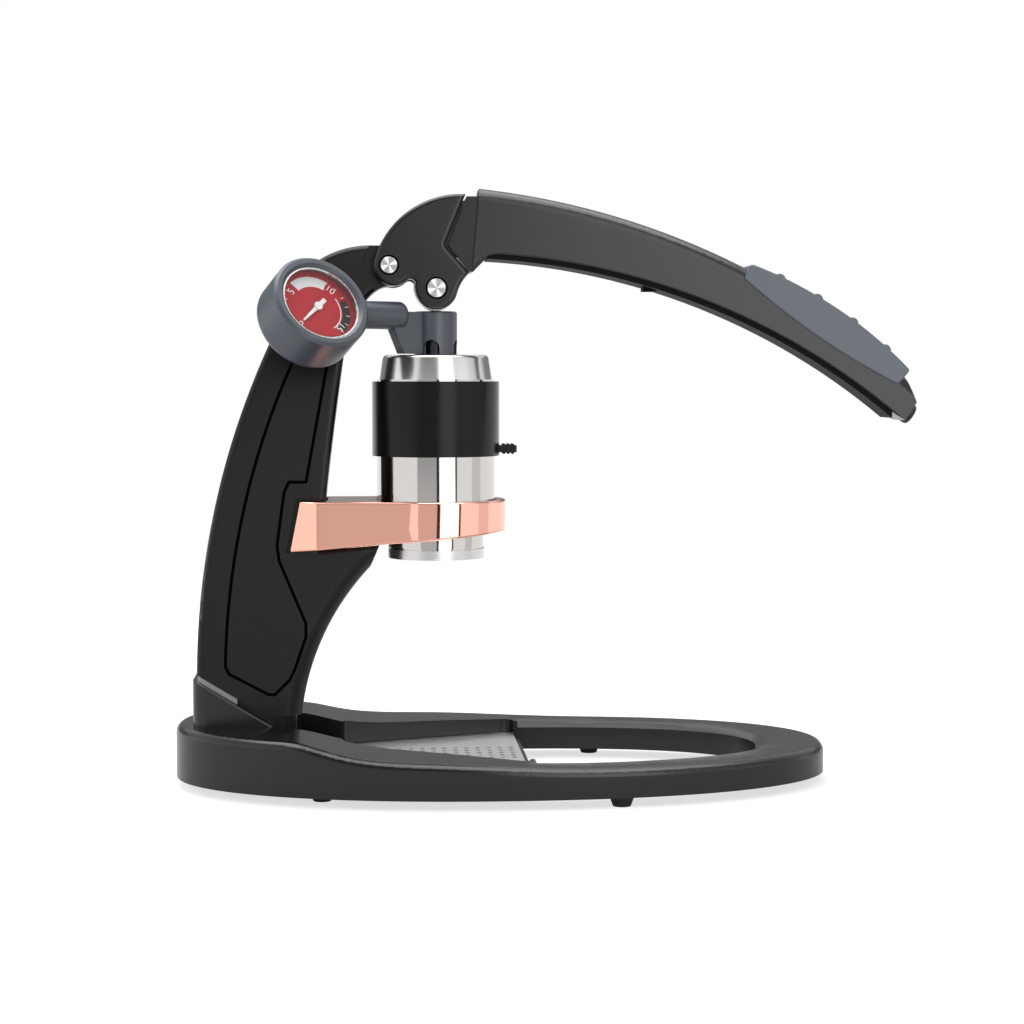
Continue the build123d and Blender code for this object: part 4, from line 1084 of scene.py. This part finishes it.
def skinned(name: str, mesh: bpy.types.Mesh, finish: Finish) -> bpy.types.Object:
    """Put a mesh into the scene as an object with one finish.

    Args:
        name: The object's name.
        mesh: The mesh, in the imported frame.
        finish: The finish.

    Returns:
        The object.
    """
    mesh.materials.clear()
    mesh.materials.append(finish.material())
    return link(name, mesh)


def smooth_copy(node: str, finish: Finish, body: str) -> bpy.types.Object:
    """Stand a smoothly shaded copy in for a node, so that its curves carry even reflections.

    Args:
        node: The node's name.
        finish: The copy's finish.
        body: The body that it rides on.

    Returns:
        The copy.
    """
    shape = bmesh.new()
    shape.from_mesh(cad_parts[node].data)
    bmesh.ops.remove_doubles(shape, verts=shape.verts, dist=WELD)
    smooth_faces(shape)
    mesh = bpy.data.meshes.new(f"{node}_skin")
    shape.to_mesh(mesh)
    shape.free()
    made = skinned(mesh.name, mesh, finish)
    even_normals(made)
    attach(made, body)
    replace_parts(made, node)
    log.info("smoothed %s in %s", node, finish.name)
    return made


def dress_all(finishes: dict[str, Finish], smoothed: dict[str, str]) -> None:
    """Dress nodes, and stand smooth copies in for some of them.

    Args:
        finishes: The finish of each node.
        smoothed: The body of each node that gets a smooth copy.
    """
    for node, finish in finishes.items():
        dress(node, finish)
        if node in smoothed:
            smooth_copy(node, finish, smoothed[node])


def piece(
    name: str, shape: bmesh.types.BMesh, finish: Finish, body: str, smooth: bool = True
) -> bpy.types.Object:
    """Make an object of a finished shape and let it ride.

    Args:
        name: The piece's name.
        shape: Its mesh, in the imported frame; it is freed.
        finish: Its finish.
        body: The body that it rides on.
        smooth: Whether its faces are shaded smooth.

    Returns:
        The new object.
    """
    bmesh.ops.recalc_face_normals(shape, faces=shape.faces)
    if smooth:
        smooth_faces(shape)
    mesh = bpy.data.meshes.new(name)
    shape.to_mesh(mesh)
    shape.free()
    made = skinned(name, mesh, finish)
    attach(made, body)
    log.info("added %s", name)
    return made


@dataclass(frozen=True)
class Stand:
    """Base, feet, tray and post; lengths in millimetres."""

    finishes: ClassVar[dict[str, Finish]] = {
        "base_ring": GRAPHITE,
        "base_feet": RUBBER,
        "drip_tray": SHEET,
        "post": BLACK,
        "post_shim": SHIM,
        "post_screws": SHEET,
        "pivot_bushing": BRONZE,
    }
    smoothed: ClassVar[dict[str, str]] = dict.fromkeys(("base_ring", "base_feet"), "stand")
    full_half: float = 17.0
    neck_half: float = 8.6
    taper: Pair = (146.0, 236.0)
    groove: float = 0.8
    floor_facing: float = 0.985  # least share of Y in the normal of the groove's floor
    floor_margin: float = 0.12
    wall_facing: float = 0.3  # greatest share of Y in the normal of its walls
    wall_start: float = 0.1

    def flank(self, height: float) -> float:
        """Find how thick the post is at a height.

        Args:
            height: The height in millimetres.

        Returns:
            Half its thickness in millimetres.
        """
        foot, top = self.taper
        share = min(max((height - foot) / (top - foot), 0.0), 1.0)
        return self.full_half + (self.neck_half - self.full_half) * share * share * (3 - 2 * share)

    def shade_groove(self, skin: bpy.types.Object) -> None:
        """Paint shade into the panel's groove: its walls and floor get a near-black, dull finish
        that stands in for the shade in the recess.

        Args:
            skin: The smooth copy of the post.
        """
        # The second slot is painted shade for the groove.
        skin.data.materials.append(SHADOW.material())
        for face in skin.data.polygons:
            centre = face.center / MM
            facing_out = abs(face.normal.y)
            depth = self.flank(centre.z) - abs(centre.y)
            on_floor = abs(depth - self.groove) < self.floor_margin
            on_wall = self.wall_start < depth < self.groove
            is_floor = facing_out > self.floor_facing and on_floor
            is_wall = facing_out < self.wall_facing and on_wall
            # Painted shade: the groove's faces take the near-black slot.
            if centre.z < self.taper[1] and (is_floor or is_wall):
                face.material_index = 1

    def build(self) -> None:
        """Dress the nodes and paint shade into the post's groove."""
        dress_all(self.finishes, self.smoothed)
        self.shade_groove(smooth_copy("post", BLACK, "stand"))


@dataclass(frozen=True)
class BrewHead:
    """Holder, portafilter, cylinder, piston and stem; lengths in millimetres, turns in degrees.

    The cap's outline is given as (radius, height): its foot, then an arc round the shoulder's
    centre, then the edge of its bore, whose heights are counted from the cap's top.
    """

    finishes: ClassVar[dict[str, Finish]] = {
        "portafilter_holder": COPPER,
        "portafilter": BRIGHT,
        "spout_ring": BRUSHED,
        "portafilter_basket": BRIGHT,
        "dispersion_screen": BRIGHT,
        "cylinder_seal": RUBBER,
        "brew_cylinder": BRIGHT,
        "cylinder_cap": CAP_STEEL,
        "cylinder_sleeve": SILICONE,
        "piston": BRIGHT,
        "piston_seals": RUBBER,
        "piston_rod": DARK_STEEL,
        "stem": SLATE,
        "stem_guide": BRONZE,
    }
    smoothed: ClassVar[dict[str, str]] = {
        "portafilter_holder": "stand",
        "portafilter": "stand",
        "spout_ring": "stand",
        "brew_cylinder": "stand",
        "cylinder_sleeve": "stand",
        "piston": "piston",
        "stem": "stem",
    }
    cap_foot: tuple[Pair, ...] = ((11.3, 195.5), (22.95, 195.5), (22.95, 199.5), (27.8, 199.5))
    cap_shoulder: Pair = (24.1, 209.4)
    cap_round: float = 2.1
    cap_turns: tuple[float, ...] = tuple(10.0 + 8.0 * step for step in range(11))
    cap_bore: tuple[Pair, ...] = ((12.6, 0.0), (11.3, -0.9))
    cap_steps: int = 128

    def turned_cap(self) -> None:
        """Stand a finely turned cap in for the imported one: steep flank, small round shoulder."""
        reach, rise = self.cap_shoulder
        turns = [math.radians(turn) for turn in self.cap_turns]
        arc = [
            (reach + self.cap_round * math.cos(turn), rise + self.cap_round * math.sin(turn))
            for turn in turns
        ]
        bore = [(radius, arc[-1][1] + drop) for radius, drop in self.cap_bore]
        shape = bmesh.new()
        ring = [
            shape.verts.new((BREW_AXIS[0] + radius * MM, 0.0, height * MM))
            for radius, height in (*self.cap_foot, *arc, *bore)
        ]
        edges = [shape.edges.new(pair) for pair in zip(ring, (*ring[1:], ring[0]))]
        bmesh.ops.spin(
            shape,
            geom=[*ring, *edges],
            cent=(*BREW_AXIS, 0.0),
            axis=(0.0, 0.0, 1.0),
            angle=2 * math.pi,
            steps=self.cap_steps,
            use_merge=True,
        )
        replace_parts(piece("turned_cap", shape, CAP_STEEL, "stand"), "cylinder_cap")

    def build(self) -> None:
        """Dress the nodes and turn the cap."""
        dress_all(self.finishes, self.smoothed)
        self.turned_cap()


@dataclass(frozen=True)
class Gauge:
    """Pressure gauge on its tube; lengths in millimetres, turns in degrees."""

    smoothed: ClassVar[dict[str, str]] = dict.fromkeys(
        ("gauge_tube", "gauge_housing", "gauge_bezel", "gauge_lens"), "stem"
    )
    swing: float = 31.0
    tilt: float = 30.0
    reach: float = 70.0
    height: float = 230.6
    dial_front: float = 5.0
    numbers: ClassVar[dict[str, float]] = {"0": 218.0, "5": 143.0, "10": 45.0, "15": -47.0}
    number_size: float = 5.0
    number_radius: float = 14.2
    number_half: float = 0.03
    number_lift: float = 0.06
    tick_radii: Pair = (15.4, 17.2)
    tick_width: float = 0.35
    tick_height: float = 0.06
    tick_lift: float = 0.05
    first_tick: float = 218.0
    tick_step: float = -18.0
    tick_count: int = 16

    def placement(self) -> Matrix:
        """Place the gauge.

        Returns:
            The matrix from the gauge's own frame, in metres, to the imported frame.
        """
        swing, tilt = math.radians(self.swing), math.radians(self.tilt)
        level, reach = math.cos(tilt), self.reach * MM
        across = Vector((math.cos(swing), math.sin(swing), 0.0))
        out = Vector((level * math.sin(swing), -level * math.cos(swing), math.sin(tilt)))
        up = out.cross(across)
        x, y = BREW_AXIS
        centre = Vector((x - reach * across.x, y - reach * across.y, self.height * MM))
        turn = Matrix((across, up, out)).transposed().to_4x4()
        return Matrix.Translation(centre) @ turn

    def finishes(self) -> dict[str, Finish]:
        """Choose the finishes; the dial's print lies where the dial does.

        Returns:
            The finish of each node.
        """
        place = self.placement()
        dial_centre = place @ Vector((0.0, 0.0, self.dial_front * MM))
        return {
            "gauge_tube": SLATE,
            "gauge_housing": SLATE,
            "gauge_bezel": BRUSHED,
            "gauge_lens": GLASS,
            "gauge_dial": DialPrint("dial_print", tuple(dial_centre), tuple(place.to_euler())),
            "gauge_needle": WHITE_PRINT,
            "gauge_spindle": BRUSHED,
            "gauge_movement": BRONZE,
            "bourdon_tube": BRONZE,
        }

    def add_number(self, text: str, turn: float) -> None:
        """Add a plain number of the scale as a thin printed shape.

        Args:
            text: The number.
            turn: Where it stands round the dial.
        """
        name = f"dial_number_{text}"
        curve = bpy.data.curves.new(name, "FONT")
        curve.body = text
        curve.size = self.number_size * MM
        curve.align_x = "CENTER"
        curve.align_y = "CENTER"
        curve.extrude = self.number_half * MM
        holder = link(name, curve)
        bpy.context.view_layer.update()
        graph = bpy.context.evaluated_depsgraph_get()
        mesh = bpy.data.meshes.new_from_object(holder.evaluated_get(graph))
        bpy.data.objects.remove(holder)
        angle = math.radians(turn)
        spot = Vector((math.cos(angle), math.sin(angle), 0.0)) * self.number_radius * MM
        spot.z = (self.dial_front + self.number_lift) * MM
        upright = Matrix.Rotation(angle - math.pi / 2, 4, "Z")
        mesh.transform(self.placement() @ Matrix.Translation(spot) @ upright)
        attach(skinned(name, mesh, WHITE_PRINT), "stem")

    def add_ticks(self) -> None:
        """Add the scale's ticks as one piece."""
        shape = bmesh.new()
        low, high = self.tick_radii
        size = Vector((high - low, self.tick_width, self.tick_height)) * MM
        spot = Vector(((low + high) / 2, 0.0, self.dial_front + self.tick_lift)) * MM
        for number in range(self.tick_count):
            turn = Matrix.Rotation(math.radians(self.first_tick + self.tick_step * number), 3, "Z")
            tick = bmesh.ops.create_cube(shape, size=1.0)["verts"]
            bmesh.ops.scale(shape, verts=tick, vec=size)
            bmesh.ops.translate(shape, verts=tick, vec=spot)
            bmesh.ops.rotate(shape, verts=tick, cent=(0.0, 0.0, 0.0), matrix=turn)
        bmesh.ops.transform(shape, matrix=self.placement(), verts=shape.verts)
        piece("dial_ticks", shape, WHITE_PRINT, "stem", smooth=False)

    def build(self) -> None:
        """Dress the nodes and add the printed scale."""
        dress_all(self.finishes(), self.smoothed)
        for text, turn in self.numbers.items():
            self.add_number(text, turn)
        self.add_ticks()


@dataclass(frozen=True)
class Lever:
    """Lever head, handle, grip, pins and roller; lengths in millimetres.

    The saddle is given by two corners of its side view, as (x, z), and half its thickness.
    """

    finishes: ClassVar[dict[str, Finish]] = {
        "lever_head": LEVER_BLACK,
        "lever_handle": LEVER_BLACK,
        "handle_strip": STRIP,
        "handle_grip": GRIP_RUBBER,
        "handle_end_plug": PLASTIC,
        "pivot_pin": PinSteel("pivot_pin_steel", PIVOT),
        "press_pin": PinSteel("press_pin_steel", PRESS),
        "pivot_washers": PLASTIC,
        "press_roller": BRUSHED,
    }
    smoothed: ClassVar[dict[str, str]] = dict.fromkeys(
        (
            "lever_head",
            "lever_handle",
            "handle_strip",
            "handle_grip",
            "handle_end_plug",
            "pivot_pin",
            "press_pin",
        ),
        "lever",
    )
    pins: tuple[tuple[str, Pair, float], ...] = (("pivot", PIVOT, 4.05), ("press", PRESS, 4.5))
    cheek: float = 15.0
    # Ring of painted shade round each pin: its width, how proud of the cheek it lies, its play
    # round the pin and its segments.
    ring_width: float = 0.9
    ring_proud: float = 0.04
    ring_play: float = 0.02
    ring_segments: int = 64
    saddle: tuple[Pair, Pair] = ((-46.5, 278.0), (-40.5, 286.9))
    saddle_half: float = 6.0
    saddle_round: float = 0.5
    saddle_segments: int = 2

    def add_saddle(self) -> None:
        """Add the small dark saddle on the tongue, between the head's crown and the collar."""
        (left, low), (right, high) = self.saddle
        size = Vector((right - left, 2 * self.saddle_half, high - low)) * MM
        spot = Vector(((left + right) / 2, 0.0, (low + high) / 2)) * MM
        shape = bmesh.new()
        bmesh.ops.create_cube(shape, size=1.0)
        bmesh.ops.scale(shape, verts=shape.verts, vec=size)
        bmesh.ops.translate(shape, verts=shape.verts, vec=spot)
        bmesh.ops.bevel(
            shape,
            geom=shape.edges[:],
            offset=self.saddle_round * MM,
            offset_type="OFFSET",
            affect="EDGES",
            segments=self.saddle_segments,
            profile=0.5,
            material=-1,
        )
        piece("tongue_saddle", shape, LEVER_BLACK, "lever")

    def add_shade_ring(self, name: str, centre: Pair, radius: float, side: Side) -> None:
        """Add a thin ring of painted shade round a pin's end, standing in for the shadowed gap
        there.

        Args:
            name: The piece's name.
            centre: Where the pin lies in the side view, as (x, z), in metres.
            radius: The pin's radius in millimetres.
            side: The side of the machine.
        """
        shape = bmesh.new()
        inner = radius + self.ring_play
        bmesh.ops.create_circle(
            shape, cap_ends=False, segments=self.ring_segments, radius=inner * MM
        )
        grown = bmesh.ops.extrude_edge_only(shape, edges=shape.edges[:])["geom"]
        outer = [item for item in grown if isinstance(item, bmesh.types.BMVert)]
        factor = (radius + self.ring_width) / inner
        bmesh.ops.scale(shape, verts=outer, vec=(factor, factor, 1.0))
        upright = Matrix.Rotation(math.pi / 2, 3, "X")
        bmesh.ops.rotate(shape, verts=shape.verts, cent=(0.0, 0.0, 0.0), matrix=upright)
        out = side.value * (self.cheek + self.ring_proud) * MM
        bmesh.ops.translate(shape, verts=shape.verts, vec=Vector((centre[0], out, centre[1])))
        # Painted shade: a flat near-black ring just proud of the cheek.
        piece(name, shape, SHADOW, "lever", smooth=False)

    def build(self) -> None:
        """Dress the nodes, add the tongue's saddle and the rings of painted shade round the pins.
        """
        dress_all(self.finishes, self.smoothed)
        self.add_saddle()
        for side in Side:
            for name, centre, radius in self.pins:
                self.add_shade_ring(f"{name}_ring_{side.name.lower()}", centre, radius, side)


def main() -> None:
    """Build the studio and dress every part of the machine."""
    logging.basicConfig(level=logging.INFO, format="%(name)s: %(message)s")
    Studio().build()
    Stand().build()
    BrewHead().build()
    Gauge().build()
    Lever().build()


if __name__ == "__main__":
    main()
